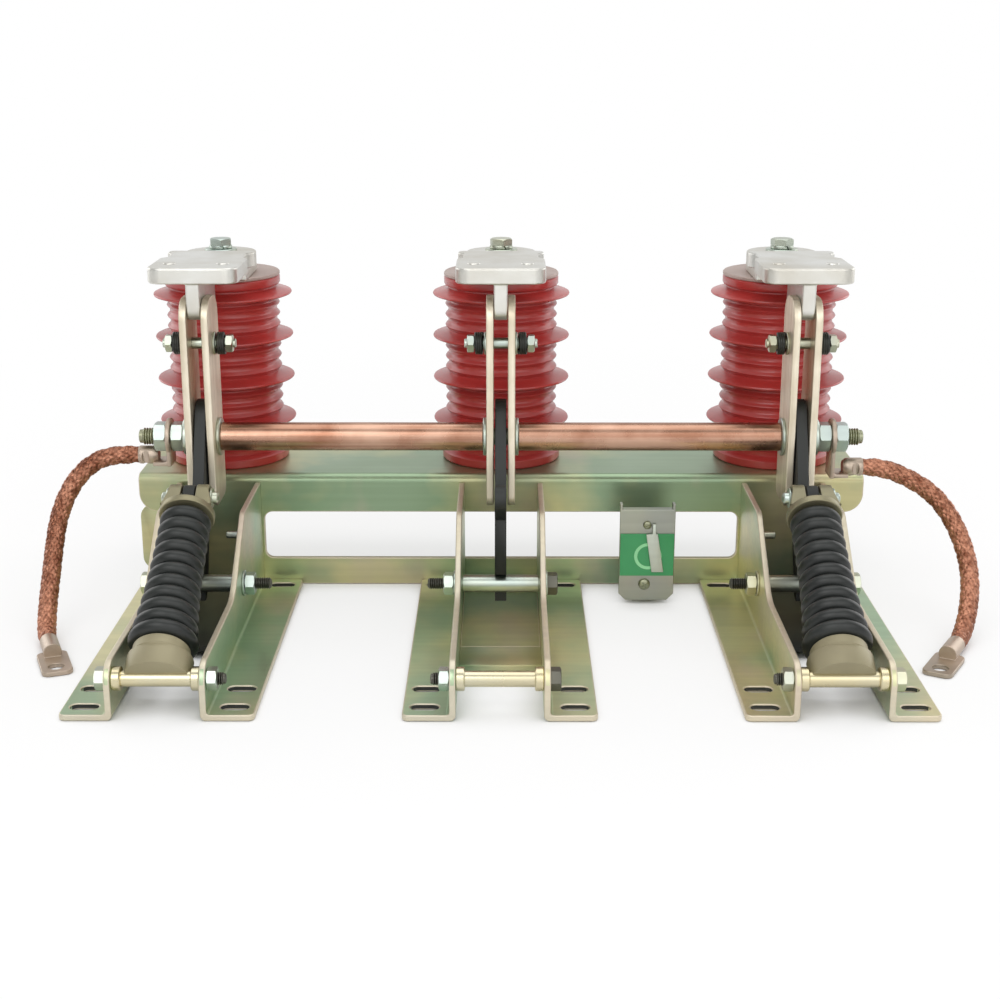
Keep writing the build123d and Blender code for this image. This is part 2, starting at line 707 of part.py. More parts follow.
def main():
    os.makedirs("parts", exist_ok=True)
    save("base_frame", base_frame())
    right_plate = side_plate()
    left_plate = mirror(right_plate, about=Plane.YZ)
    blades, arm = blade_pair(), swing_arm()
    post, cap, contact = insulator(), insulator_cap(), fixed_contact()
    for name, x in poles.items():
        save(f"{name}_leg_left_plate", Pos(x, 0, 0) * left_plate)
        save(f"{name}_leg_right_plate", Pos(x, 0, 0) * right_plate)
        save(f"{name}_insulator", Pos(x, 0, 0) * post)
        save(f"{name}_insulator_cap", Pos(x, 0, 0) * cap)
        save(f"{name}_fixed_contact", Pos(x, 0, 0) * contact)
        save(f"{name}_blades", *at_poles(blades, [x]))
        save(f"{name}_swing_arm", Pos(x, 0, 0) * arm)
    save("leg_floors", *at_poles([leg_floor()], poles.values()))
    save("tie_rods", *at_poles([tie_rod()], poles.values()))
    save("pivot_bolts", *at_poles([pivot_bolt()], poles.values()))
    save("terminal_bolts", *at_poles([terminal_bolt()], poles.values()))
    save("pivot_sleeves", *at_poles([pivot_sleeve()], poles.values()))
    save("pressure_bolts", *at_poles([pressure_bolt()], poles.values()))
    save("pressure_springs", *at_poles(pressure_springs(), poles.values()))
    save("cross_rod", cross_rod())
    tube = cross_tube()
    save("left_cross_tube", Pos(-pole_pitch, 0, 0) * tube)
    save("right_cross_tube", tube)
    save("yoke_pins", *at_poles([yoke_pin()], outer_poles.values()))
    seat, yoke, bellows = spring_seat(), spring_yoke(), spring_bellows()
    routes = {"left": left_braid_route, "right": right_braid_route}
    drops = {"left": left_lug_drop, "right": right_lug_drop}
    for name, x in outer_poles.items():
        save(f"{name}_spring_seat", Pos(x, 0, 0) * seat)
        save(f"{name}_spring_yoke", Pos(x, 0, 0) * yoke)
        save(f"{name}_spring_bellows", Pos(x, 0, 0) * bellows)
        save(f"{name}_upper_lug", upper_lug(-1 if x < 0 else 1, drops[name]))
        save(f"{name}_braid", braid(routes[name]))
        save(f"{name}_earth_lug", earth_lug(routes[name]))
    save("indicator_bracket", indicator_bracket())
    save("indicator_face", indicator_face())
    save("indicator_pointer", indicator_pointer())


main()
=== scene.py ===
"""Studio scene of a three-pole earthing switch: finishes, woven straps, bellows and fasteners.

Metres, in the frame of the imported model: X along the poles, +Y to the back, feet on Z = 0.
"""
import json
import math

import bpy
from mathutils import Matrix, Vector
from mathutils.bvhtree import BVHTree

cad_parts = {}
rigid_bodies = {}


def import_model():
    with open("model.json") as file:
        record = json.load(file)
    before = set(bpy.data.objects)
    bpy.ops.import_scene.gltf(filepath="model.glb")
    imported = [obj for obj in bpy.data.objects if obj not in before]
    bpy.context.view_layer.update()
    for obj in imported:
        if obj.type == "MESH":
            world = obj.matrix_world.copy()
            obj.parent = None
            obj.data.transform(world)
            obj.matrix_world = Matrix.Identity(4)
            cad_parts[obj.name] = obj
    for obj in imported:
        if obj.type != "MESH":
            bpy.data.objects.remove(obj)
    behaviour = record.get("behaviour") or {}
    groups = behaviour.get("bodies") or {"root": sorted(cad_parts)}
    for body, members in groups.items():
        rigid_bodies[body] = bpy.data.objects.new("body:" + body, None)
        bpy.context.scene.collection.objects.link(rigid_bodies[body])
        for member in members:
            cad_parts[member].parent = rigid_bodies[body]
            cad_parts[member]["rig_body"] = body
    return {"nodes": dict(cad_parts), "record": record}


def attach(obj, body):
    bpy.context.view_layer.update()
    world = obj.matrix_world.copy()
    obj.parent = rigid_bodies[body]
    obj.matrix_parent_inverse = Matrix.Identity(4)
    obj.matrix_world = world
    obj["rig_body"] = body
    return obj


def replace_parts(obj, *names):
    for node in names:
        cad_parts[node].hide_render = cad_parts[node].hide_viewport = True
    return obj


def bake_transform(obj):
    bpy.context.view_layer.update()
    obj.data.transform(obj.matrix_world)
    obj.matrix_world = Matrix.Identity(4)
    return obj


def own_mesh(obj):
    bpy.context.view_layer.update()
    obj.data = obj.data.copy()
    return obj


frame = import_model()
nodes = frame["nodes"]
slot_of = {entry["node"]: entry["material_slot"] for entry in frame["record"]["subparts"]}
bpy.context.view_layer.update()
scene = bpy.context.scene

# Camera, as fitted to the photograph
camera_place = (0.0029, -1.0813, 0.4115)
camera_pitch_deg = 16.71
camera_yaw_deg = 0.18
lens_mm = 57.82
sensor_mm = 36.0

# Studio
lamp_aim_z = 0.12
floor_drop = 0.0003
shadow_reach = 0.03

# Small lengths of the modelling
hair = 0.00001
weld_reach = 0.000005
overlap = 0.001
bump_depth = 0.0002

# Rounding of edges
sheet_ease, blade_ease, arm_ease, tube_ease = 0.0008, 0.0007, 0.0006, 0.0006
contact_ease, yoke_ease, lug_ease = 0.0012, 0.0008, 0.0005
plate_ease, small_ease = 0.0004, 0.0004

# Poles and legs
pole_x = {"left": -0.210, "middle": 0.0, "right": 0.210}
outer_x = {"left": -0.210, "right": 0.210}
leg_half = 0.031
sheet_t = 0.004
leg_inner = leg_half - sheet_t
slot_reach = 0.03
plate_under_z = 0.082
stop_y, stop_z = -0.004, 0.062
stop_r, stop_len, stop_ease = 0.0025, 0.0105, 0.0006

# Insulators
insulator_y = 0.1245
insulator_z = 0.086
insulator_h = 0.140
insulator_body_r = 0.040
insulator_base_r = 0.045
insulator_rim_r = 0.043
insulator_rim_h = 0.006
insulator_base_h = 0.006
insulator_ease = 0.001
cap_t = 0.003
shed_r = 0.0515
shed_first = 0.031
shed_pitch = 0.032
shed_count = 4
shed_half_t = 0.0046
rib_r = 0.0422
rib_pitch = 0.008
rib_half_t = 0.003

# Half of a shed's outline, from its root to its rim, as shares of (reach, half thickness)
shed_shares = ((0.0, 1.0), (0.18, 0.72), (0.55, 0.42), (0.86, 0.27), (0.97, 0.17))

# Fixed contacts
pad_top_z = 0.244
contact_top_z = 0.249
rivet_x, rivet_y = 0.0185, 0.0257
rivet_r, rivet_h = 0.0046, 0.0009

# Rods, pins and bolts
rod_y, rod_z = -0.172, 0.024
pivot_y, pivot_z = -0.027, 0.034
pin_y, pin_z = -0.040, 0.100
blade_y, tube_z, pressure_z = 0.022, 0.127, 0.194
blade_out = 0.010

# Cross bolts of the legs
leg_bolt_r, leg_bolt_pitch = 0.004, 0.00125
tie_across, tie_head_t, tie_tail = 0.013, 0.0065, 0.005
pivot_across, pivot_head_t, pivot_tail = 0.014, 0.007, 0.011
pivot_washer_r, pivot_washer_t = 0.009, 0.0016
sleeve_r = 0.005
collar_r, collar_len, collar_ease, collar_slope = 0.0075, 0.0055, 0.0006, 0.0002

# Bolts above and below the insulators
terminal_across, terminal_head_t = 0.015, 0.005
terminal_washer_r, terminal_washer_t = 0.012, 0.002
split_r, split_t = 0.0085, 0.0025
split_x, split_cut, split_gap = 0.007, 0.006, 0.0012
split_lean, split_turn, head_turn = 0.5, -1.2, 0.2
under_across, under_head_t = 0.018, 0.0075
under_washer_r, under_washer_t = 0.013, 0.0025

# Cross rod in the copper tubes
cross_rod_r, cross_pitch, cross_tail = 0.006, 0.00175, 0.036
cross_across, cross_nut_t = 0.019, 0.009
cross_washer_r, thin_washer_t, thick_washer_t = 0.0135, 0.0025, 0.004

# Bolts and springs that press the blades together
pressure_r, pressure_pitch, pressure_tail = 0.004, 0.00125, 0.0155
pressure_across, pressure_nut_t = 0.0115, 0.0050
cup_r, cup_t = 0.008, 0.0015
spring_mean_r, spring_wire_r, spring_turns, spring_len = 0.0067, 0.0013, 3, 0.0070

# Yoke pins
yoke_half = 0.0142
yoke_pin_r, yoke_pin_half = 0.004, 0.0195
yoke_pin_dome, yoke_pin_brow = 0.0017, 0.0007
yoke_washer_r, yoke_washer_t = 0.0068, 0.0012

# Open front of the swing arms' hubs, as (y, z), which shows the pivot sleeves from end to end
arm_notch = [(-0.027, 0.0), (-0.027, 0.0405), (-0.060, 0.0525), (-0.060, 0.0)]
notch_t = 0.012

# Upper lugs of the straps
lug_x, lug_t, lug_r = 0.233, 0.003, 0.013
tongue_half, tongue_len = 0.009, 0.012
barrel_r, barrel_len = 0.0065, 0.012
barrel_neck, barrel_lip = 0.0015, 0.0008
dent_r, dent_off = 0.003, 0.0014
lug_inset, lug_bend = 0.0003, 0.002
lug_drop = {"left": 0.0135, "right": 0.022}

# Spring cartridges, measured from the front rod up to the yoke pin
bellows_start = 0.0223
bellows_end = 0.1330
bellows_low_r = 0.0220
bellows_high_r = 0.0170
bellows_flare = 3
bellows_fold = 0.0042
bellows_folds = 11
bellows_steps = 8
bellows_power = 2.4
seat_r, seat_t, seat_rise = 0.018, 0.008, 0.014
seat_half, seat_drop, seat_ease = 0.0205, 0.004, 0.0012

# End of the front panel beside the left leg, as (x, z) with the radii of its two free corners
panel_end_y, panel_end_t = 0.0673, 0.0034
panel_end_x = (-0.2700, -0.2405)
panel_end_z = (0.0115, 0.0625)
panel_end_r = 0.0095

# Front of the middle leg's floor
floor_front_y, floor_end_y, floor_low_z = -0.112, -0.0795, 0.004

# Indicator
sign_y = 0.023
ring_x, ring_z = 0.1067, 0.0371
ring_r, ring_stroke, ring_t = 0.0100, 0.0023, 0.0002
pointer_t = 0.002
sign_sink = 0.001
pointer_outline = [(0.1050, 0.0540), (0.1096, 0.0544), (0.1096, 0.0618), (0.1120, 0.0618), (0.1120, 0.0544),
                   (0.1135, 0.0540), (0.1180, 0.0255), (0.1094, 0.0255)]

# Screws of the indicator's plate, as (x, z, radius, height)
sign_screws = [(0.1058, 0.0606, 0.0031, 0.0020), (0.1045, 0.0155, 0.0043, 0.0026)]

# Braided straps
strap_width = 0.0122
strap_thick = 0.0100
strap_neck = 0.86
strap_neck_len = 0.008
strand_count = 9
strand_turn = 0.050
strand_wide = 0.0015
strand_thick = 0.00065
strand_lift = 0.0007
left_strap_route = [
    (-0.2573, 0.022, 0.1135), (-0.271, 0.022, 0.1135), (-0.285, 0.0205, 0.111), (-0.298, 0.0175, 0.102),
    (-0.308, 0.012, 0.0875), (-0.3135, 0.004, 0.071), (-0.3145, -0.008, 0.054), (-0.314, -0.023, 0.0375),
    (-0.3135, -0.0365, 0.0235), (-0.3125, -0.0465, 0.013), (-0.3105, -0.056, 0.0065),
    (-0.3065, -0.066, 0.0062),
]
right_strap_route = [
    (0.2573, 0.022, 0.105), (0.272, 0.022, 0.1045), (0.291, 0.020, 0.097), (0.307, 0.015, 0.0875),
    (0.319, 0.007, 0.073), (0.3265, -0.005, 0.055), (0.328, -0.021, 0.0385), (0.3245, -0.036, 0.0245),
    (0.3195, -0.048, 0.0135), (0.314, -0.0585, 0.0065), (0.308, -0.069, 0.0062),
]


def tone(red, green, blue):
    """Linear colour from 8-bit screen values."""
    def linear(value):
        share = value / 255
        return share / 12.92 if share <= 0.04045 else ((share + 0.055) / 1.055) ** 2.4
    return (linear(red), linear(green), linear(blue), 1.0)


# Shader helpers

def put(tree, kind, settings=None, **inputs):
    """Add a node, with its settings, and set or link its inputs."""
    made = tree.nodes.new(kind)
    for key, value in (settings or {}).items():
        setattr(made, key, value)
    for key, value in inputs.items():
        socket = made.inputs[key.replace("_", " ")]
        if isinstance(value, bpy.types.NodeSocket):
            tree.links.new(value, socket)
        else:
            socket.default_value = value
    return made


def blend_colours(tree, share, first, second):
    """Mix of two colours by a share."""
    mix = tree.nodes.new("ShaderNodeMix")
    mix.data_type = "RGBA"
    for socket, value in ((mix.inputs[0], share), (mix.inputs[6], first), (mix.inputs[7], second)):
        if isinstance(value, bpy.types.NodeSocket):
            tree.links.new(value, socket)
        else:
            socket.default_value = value
    return mix.outputs[2]


def spread(tree, value, low, high, to_low=0.0, to_high=1.0):
    """Map a range of a value to another range, held at its ends."""
    return put(tree, "ShaderNodeMapRange", Value=value, From_Min=low, From_Max=high,
               To_Min=to_low, To_Max=to_high).outputs["Result"]


def stretched_noise(tree, scales, detail=3.0):
    """Noise on Object coordinates, with its own scale along each axis."""
    place = tree.nodes.new("ShaderNodeTexCoord").outputs["Object"]
    mapped = put(tree, "ShaderNodeMapping", Vector=place, Scale=scales)
    noise = put(tree, "ShaderNodeTexNoise", Vector=mapped.outputs[0], Scale=1.0, Detail=detail)
    return noise.outputs["Fac"]


def multiply(tree, first, second):
    """Product of two values."""
    product = put(tree, "ShaderNodeMath", {"operation": "MULTIPLY"})
    tree.links.new(first, product.inputs[0])
    tree.links.new(second, product.inputs[1])
    return product.outputs[0]


def mix_shaders(tree, share, first, second):
    """Mix of two shaders by a share."""
    mix = tree.nodes.new("ShaderNodeMixShader")
    tree.links.new(share, mix.inputs[0])
    tree.links.new(first.outputs[0], mix.inputs[1])
    tree.links.new(second.outputs[0], mix.inputs[2])
    return mix.outputs[0]


def camera_ray(tree):
    """One for what the camera sees directly, and zero for reflections and light."""
    return tree.nodes.new("ShaderNodeLightPath").outputs["Is Camera Ray"]


# Camera, light and floor

def make_camera():
    """Camera at the photograph's viewing angle."""
    data = bpy.data.cameras.new("photo_camera")
    data.lens = lens_mm
    data.sensor_width = sensor_mm
    camera = bpy.data.objects.new("photo_camera", data)
    scene.collection.objects.link(camera)
    camera.location = camera_place
    camera.rotation_euler = (math.radians(90 - camera_pitch_deg), 0, math.radians(camera_yaw_deg))
    scene.camera = camera


def make_world(front, behind, overhead):
    """Studio that is white to the camera and lights the object from a bright backdrop and a dimmer room."""
    world = bpy.data.worlds.new("white_studio")
    scene.world = world
    world.use_nodes = True
    tree = world.node_tree
    tree.nodes.clear()
    ray = tree.nodes.new("ShaderNodeTexCoord").outputs["Generated"]
    way = put(tree, "ShaderNodeSeparateXYZ", Vector=ray)
    horizon = spread(tree, way.outputs["Y"], -0.3, 0.6, front, behind)
    level = spread(tree, way.outputs["Z"], 0.1, 0.9, horizon, overhead)
    lit = put(tree, "ShaderNodeBackground", Color=(1, 1, 1, 1), Strength=level)
    shown = put(tree, "ShaderNodeBackground", Color=(1, 1, 1, 1))
    put(tree, "ShaderNodeOutputWorld", Surface=mix_shaders(tree, camera_ray(tree), lit, shown))


def make_lamp(name, place, size, watts):
    """Square soft box that faces the middle of the object."""
    data = bpy.data.lights.new(name, "AREA")
    data.size = size
    data.energy = watts
    lamp = bpy.data.objects.new(name, data)
    scene.collection.objects.link(lamp)
    lamp.location = place
    aim = Vector((0, 0, lamp_aim_z)) - Vector(place)
    lamp.rotation_euler = aim.to_track_quat("-Z", "Y").to_euler()


def make_floor(half, glow, near, far):
    """Pale floor that keeps the object's shadow and runs out into the white surroundings; its glow to the
    camera grows away from the middle and is dimmed by ambient occlusion, which paints contact shade into
    slots and round the feet.
    """
    bpy.ops.object.select_all(action="DESELECT")
    bpy.ops.mesh.primitive_plane_add(size=2 * half, location=(0, 0, -floor_drop))
    floor = bpy.context.object
    floor.name = "studio_floor"
    material = bpy.data.materials.new("pale_floor")
    material.use_nodes = True
    tree = material.node_tree
    tree.nodes.clear()
    matt = put(tree, "ShaderNodeBsdfDiffuse", Color=(0.86, 0.86, 0.86, 1))
    white = put(tree, "ShaderNodeEmission", Strength=1.0)
    spot = tree.nodes.new("ShaderNodeTexCoord").outputs["Object"]
    away = put(tree, "ShaderNodeVectorMath", {"operation": "LENGTH"}, Vector=spot).outputs["Value"]
    rising = put(tree, "ShaderNodeMapRange", {"interpolation_type": "SMOOTHSTEP"}, Value=away,
                 From_Min=near, From_Max=far, To_Min=glow, To_Max=1.0).outputs["Result"]
    # Ambient occlusion dims the floor's glow close to other surfaces: painted contact shade
    painted_contact_shade = put(tree, "ShaderNodeAmbientOcclusion", {"samples": 8}, Distance=shadow_reach).outputs["AO"]
    lit = multiply(tree, rising, spread(tree, painted_contact_shade, 0.4, 0.85))
    share = multiply(tree, lit, camera_ray(tree))
    put(tree, "ShaderNodeOutputMaterial", Surface=mix_shaders(tree, share, matt, white))
    floor.data.materials.append(material)


# Finishes

def effect(name, colours, *more):
    """Node group with colours, further inputs and two limits of roughness: returns it with its end nodes."""
    group = bpy.data.node_groups.new(name, "ShaderNodeTree")
    inputs = [(colour, "NodeSocketColor", (1, 1, 1, 1)) for colour in colours]
    inputs += [*more, ("Rough Low", "NodeSocketFloat", 0.2), ("Rough High", "NodeSocketFloat", 0.4)]
    for socket_name, kind, value in inputs:
        socket = group.interface.new_socket(socket_name, in_out="INPUT", socket_type=kind)
        socket.default_value = value
    group.interface.new_socket("Color", in_out="OUTPUT", socket_type="NodeSocketColor")
    for socket_name in ("Roughness", "Height"):
        group.interface.new_socket(socket_name, in_out="OUTPUT", socket_type="NodeSocketFloat")
    return group, group.nodes.new("NodeGroupInput"), group.nodes.new("NodeGroupOutput")


def close_effect(group, given, result, colour, rough_share, height):
    """Link a group's colour, its roughness between the two given limits, and its height."""
    rough = spread(group, rough_share, 0.3, 0.7, given.outputs["Rough Low"], given.outputs["Rough High"])
    group.links.new(colour, result.inputs["Color"])
    group.links.new(rough, result.inputs["Roughness"])
    group.links.new(height, result.inputs["Height"])
    return group


def make_plating_effect():
    """Clouds of three interference tints, as on passivated zinc, with fine rolling streaks."""
    group, given, result = effect("Plating Tints", ("Main", "Warm", "Rose"))
    clouds = stretched_noise(group, (9, 7, 13), 4.0)
    rosy = stretched_noise(group, (15, 11, 9), 3.0)
    streaks = stretched_noise(group, (6, 160, 220), 2.0)
    warm_share = spread(group, clouds, 0.42, 0.62)
    warm = blend_colours(group, warm_share, given.outputs["Main"], given.outputs["Warm"])
    tinted = blend_colours(group, spread(group, rosy, 0.55, 0.75, 0.0, 0.75), warm, given.outputs["Rose"])
    dark = put(group, "ShaderNodeHueSaturation", Color=tinted, Value=0.86).outputs["Color"]
    final = blend_colours(group, spread(group, streaks, 0.4, 0.65, 0.45, 0.0), tinted, dark)
    return close_effect(group, given, result, final, rosy, streaks)


def make_grain_effect():
    """Even small grain with slow light and dark patches, for castings, resin, rubber and paint."""
    group, given, result = effect("Surface Grain", ("Main", "Patch"),
                                  ("Grain Scale", "NodeSocketFloat", 900.0))
    patches = stretched_noise(group, (22, 22, 22), 4.0)
    spot = group.nodes.new("ShaderNodeTexCoord").outputs["Object"]
    grain = put(group, "ShaderNodeTexNoise", Vector=spot, Scale=given.outputs["Grain Scale"], Detail=2.0)
    patch_share = spread(group, patches, 0.35, 0.7)
    tinted = blend_colours(group, patch_share, given.outputs["Main"], given.outputs["Patch"])
    return close_effect(group, given, result, tinted, patches, grain.outputs["Fac"])


def make_drawn_effect():
    """Fine drawing lines along one axis with worn, paler patches, for drawn copper and tinned strip."""
    group, given, result = effect("Drawn Lines", ("Main", "Pale"),
                                  ("Line Scale", "NodeSocketVector", (5, 300, 300)))
    lines = stretched_noise(group, given.outputs["Line Scale"])
    patches = stretched_noise(group, (30, 30, 30), 4.0)
    pale_share = spread(group, multiply(group, lines, patches), 0.15, 0.36)
    tinted = blend_colours(group, pale_share, given.outputs["Main"], given.outputs["Pale"])
    return close_effect(group, given, result, tinted, patches, lines)


def finish(name, group, values, metallic, bump, **shader):
    """Material whose colour, roughness and bump come from a shared effect."""
    material = bpy.data.materials.new(name)
    material.use_nodes = True
    tree = material.node_tree
    surface = tree.nodes["Principled BSDF"]
    shared = tree.nodes.new("ShaderNodeGroup")
    shared.node_tree = group
    for key, value in values.items():
        shared.inputs[key].default_value = value
    tree.links.new(shared.outputs["Color"], surface.inputs["Base Color"])
    tree.links.new(shared.outputs["Roughness"], surface.inputs["Roughness"])
    relief = put(tree, "ShaderNodeBump", Strength=bump, Distance=bump_depth,
                 Height=shared.outputs["Height"])
    tree.links.new(relief.outputs["Normal"], surface.inputs["Normal"])
    surface.inputs["Metallic"].default_value = metallic
    for key, value in shader.items():
        surface.inputs[key.replace("_", " ")].default_value = value
    return material


def make_finishes():
    """Every finish of the switch: by the name of its material slot, and a few kinds within a slot."""
    plating, grain, drawn = make_plating_effect(), make_grain_effect(), make_drawn_effect()
    return {
        "zinc_sheet": finish("passivated_sheet", plating, {
            "Main": tone(146, 168, 138), "Warm": tone(204, 198, 152), "Rose": tone(196, 180, 162),
            "Rough Low": 0.28, "Rough High": 0.4}, 0.84, 0.06),
        # Lighter copy of the same sheet finish for the leg plates: painted light for where light falls
        # brighter on them
        "sheet_painted_light": finish("passivated_sheet_painted_light", plating, {
            "Main": tone(170, 194, 162), "Warm": tone(222, 216, 172), "Rose": tone(212, 198, 178),
            "Rough Low": 0.28, "Rough High": 0.4}, 0.84, 0.06),
        "cut_edge": finish("worn_sheet_edge", plating, {
            "Main": tone(210, 203, 182), "Warm": tone(218, 206, 180), "Rose": tone(206, 188, 174),
            "Rough Low": 0.35, "Rough High": 0.5}, 0.6, 0.1),
        # Dark sheet finish for the outer legs' floors and the walls of slots: painted shade, not a finish of
        # the real sheet
        "painted_shade_sheet": finish("painted_shade_sheet", plating, {
            "Main": tone(58, 60, 58), "Warm": tone(70, 70, 62), "Rose": tone(54, 54, 54),
            "Rough Low": 0.3, "Rough High": 0.45}, 0.5, 0.1),
        "zinc_bolts": finish("bright_zinc", plating, {
            "Main": tone(190, 202, 194), "Warm": tone(198, 196, 170), "Rose": tone(180, 192, 194),
            "Rough Low": 0.26, "Rough High": 0.38}, 1.0, 0.06),
        "yellow_zinc": finish("yellow_zinc", plating, {
            "Main": tone(214, 208, 180), "Warm": tone(222, 208, 164), "Rose": tone(204, 198, 178),
            "Rough Low": 0.2, "Rough High": 0.3}, 1.0, 0.06),
        "grey_yoke": finish("satin_yoke", plating, {
            "Main": tone(140, 135, 110), "Warm": tone(152, 144, 114), "Rose": tone(134, 130, 114),
            "Rough Low": 0.35, "Rough High": 0.5}, 0.7, 0.1),
        "thread_steel": finish("dark_thread", grain, {
            "Main": tone(84, 84, 78), "Patch": tone(110, 108, 98),
            "Rough Low": 0.3, "Rough High": 0.45}, 1.0, 0.1),
        "olive_thread": finish("olive_thread", grain, {
            "Main": tone(146, 150, 126), "Patch": tone(166, 166, 140),
            "Rough Low": 0.3, "Rough High": 0.45}, 1.0, 0.1),
        "dark_spring": finish("blackened_steel", grain, {
            "Main": tone(52, 54, 52), "Patch": tone(72, 72, 66),
            "Rough Low": 0.3, "Rough High": 0.45}, 0.8, 0.1),
        "copper": finish("drawn_copper", drawn, {
            "Main": tone(158, 114, 92), "Pale": tone(202, 164, 142), "Line Scale": (5, 260, 260),
            "Rough Low": 0.22, "Rough High": 0.34}, 1.0, 0.08),
        "copper_braid": finish("copper_wire", drawn, {
            "Main": tone(120, 72, 52), "Pale": tone(192, 136, 110), "Line Scale": (260, 260, 260),
            "Rough Low": 0.32, "Rough High": 0.5}, 0.9, 0.25),
        "tinned_copper": finish("tinned_strip", drawn, {
            "Main": tone(208, 196, 172), "Pale": tone(238, 228, 208), "Line Scale": (260, 260, 6),
            "Rough Low": 0.34, "Rough High": 0.48}, 0.7, 0.08),
        "tinned_lug": finish("tinned_lug", grain, {
            "Main": tone(168, 156, 140), "Patch": tone(196, 178, 162), "Grain Scale": 500.0,
            "Rough Low": 0.32, "Rough High": 0.48}, 0.9, 0.2),
        "cast_contact": finish("silvered_casting", grain, {
            "Main": tone(222, 222, 217), "Patch": tone(202, 198, 187), "Grain Scale": 1100.0,
            "Rough Low": 0.28, "Rough High": 0.42}, 0.9, 0.12),
        "insulator_cap": finish("satin_cap", grain, {
            "Main": tone(182, 164, 156), "Patch": tone(166, 146, 138),
            "Rough Low": 0.4, "Rough High": 0.55}, 0.4, 0.08),
        "red_resin": finish("red_resin", grain, {
            "Main": tone(176, 54, 50), "Patch": tone(162, 48, 45), "Grain Scale": 300.0,
            "Rough Low": 0.3, "Rough High": 0.42}, 0.0, 0.03, Coat_Weight=0.4, Coat_Roughness=0.12),
        "black_steel": finish("black_steel", grain, {
            "Main": tone(30, 33, 32), "Patch": tone(42, 44, 41), "Grain Scale": 700.0,
            "Rough Low": 0.46, "Rough High": 0.6}, 0.1, 0.1),
        "black_rubber": finish("black_rubber", grain, {
            "Main": tone(22, 25, 24), "Patch": tone(32, 36, 33), "Grain Scale": 1300.0,
            "Rough Low": 0.32, "Rough High": 0.42}, 0.0, 0.12),
        "tan_seat": finish("tan_seat", grain, {
            "Main": tone(154, 146, 117), "Patch": tone(140, 132, 105), "Grain Scale": 800.0,
            "Rough Low": 0.4, "Rough High": 0.55}, 0.3, 0.1),
        "indicator_metal": finish("satin_plate", plating, {
            "Main": tone(168, 172, 158), "Warm": tone(178, 172, 154), "Rose": tone(164, 166, 162),
            "Rough Low": 0.26, "Rough High": 0.4}, 1.0, 0.08),
        "pale_pointer": finish("pale_pointer", plating, {
            "Main": tone(200, 210, 192), "Warm": tone(206, 206, 184), "Rose": tone(196, 202, 194),
            "Rough Low": 0.3, "Rough High": 0.45}, 0.7, 0.06),
        "indicator_green": finish("green_field", grain, {
            "Main": tone(50, 138, 80), "Patch": tone(62, 148, 92),
            "Rough Low": 0.35, "Rough High": 0.5}, 0.0, 0.04),
        "ring_print": finish("pale_green_print", grain, {
            "Main": tone(156, 222, 166), "Patch": tone(144, 210, 156),
            "Rough Low": 0.4, "Rough High": 0.55}, 0.0, 0.03),
    }


# Modelling helpers

def pick(piece):
    """Make one piece the active one, with nothing else selected."""
    bpy.ops.object.select_all(action="DESELECT")
    bpy.context.view_layer.objects.active = piece
    piece.select_set(True)


def edit(piece):
    """Open one piece in edit mode with everything in it selected."""
    pick(piece)
    bpy.ops.object.mode_set(mode="EDIT")
    bpy.ops.mesh.select_all(action="SELECT")


def close_edit():
    """Leave edit mode with the faces pointing outwards."""
    bpy.ops.mesh.select_all(action="SELECT")
    bpy.ops.mesh.normals_make_consistent(inside=False)
    bpy.ops.object.mode_set(mode="OBJECT")


def smooth(piece, angle_deg=35.0):
    """Smooth shading across every edge flatter than an angle."""
    pick(piece)
    bpy.ops.object.shade_smooth_by_angle(angle=math.radians(angle_deg))


def apply_modifier(piece, kind, **settings):
    """Add a modifier and apply it."""
    modifier = piece.modifiers.new(kind.lower(), kind)
    for key, value in settings.items():
        setattr(modifier, key, value)
    bpy.context.view_layer.objects.active = piece
    bpy.ops.object.modifier_apply(modifier=modifier.name)


def lathe(name, profile, steps=48):
    """Ring drawn up through (radius, height) pairs about Z, closed at both ends."""
    radius, height = profile[0]
    bpy.ops.object.select_all(action="DESELECT")
    bpy.ops.mesh.primitive_circle_add(vertices=steps, radius=radius, fill_type="NGON",
                                      location=(0, 0, height))
    piece = bpy.context.object
    piece.name = name
    bpy.ops.object.transform_apply(location=True)
    edit(piece)
    for next_radius, next_height in profile[1:]:
        bpy.ops.mesh.extrude_region_move(TRANSFORM_OT_translate={"value": (0, 0, next_height - height)})
        share = next_radius / radius
        bpy.ops.transform.resize(value=(share, share, 1), center_override=(0, 0, next_height))
        radius, height = next_radius, next_height
    close_edit()
    smooth(piece)
    return piece


def place(piece, matrix):
    """Put a piece in its place, in its mesh."""
    piece.data.transform(matrix)
    return piece


def copy_at(piece, name, matrix):
    """Copy of a piece with its own mesh, in another place."""
    twin = bpy.data.objects.new(name, piece.data.copy())
    scene.collection.objects.link(twin)
    return place(twin, matrix)


def dress(piece, body, slot):
    """Let a piece ride on a body in the finish of a material slot."""
    piece.data.materials.clear()
    piece.data.materials.append(finishes[slot])
    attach(piece, body)
    return piece


def mark_cut_edges(mesh, sheet):
    """Give a sheet's cut edges, with deep metal behind them, the second finish and slot walls the third, a
    dark finish that is painted shade.
    """
    points = [point.co for point in mesh.vertices]
    tree = BVHTree.FromPolygons(points, [face.vertices for face in mesh.polygons])
    for face in mesh.polygons:
        corners = [points[index] for index in face.vertices]
        round_way = sum((here - before).length for before, here in zip(corners, corners[1:] + corners[:1]))
        depth = tree.ray_cast(face.center - hair * face.normal, -face.normal)[3]
        if depth and depth > 1.5 * sheet and face.area < 0.6 * sheet * round_way:
            across = tree.ray_cast(face.center + hair * face.normal, face.normal)[3]
            # Slot walls take the third finish, which paints their shade
            face.material_index = 2 if across and across < slot_reach else 1


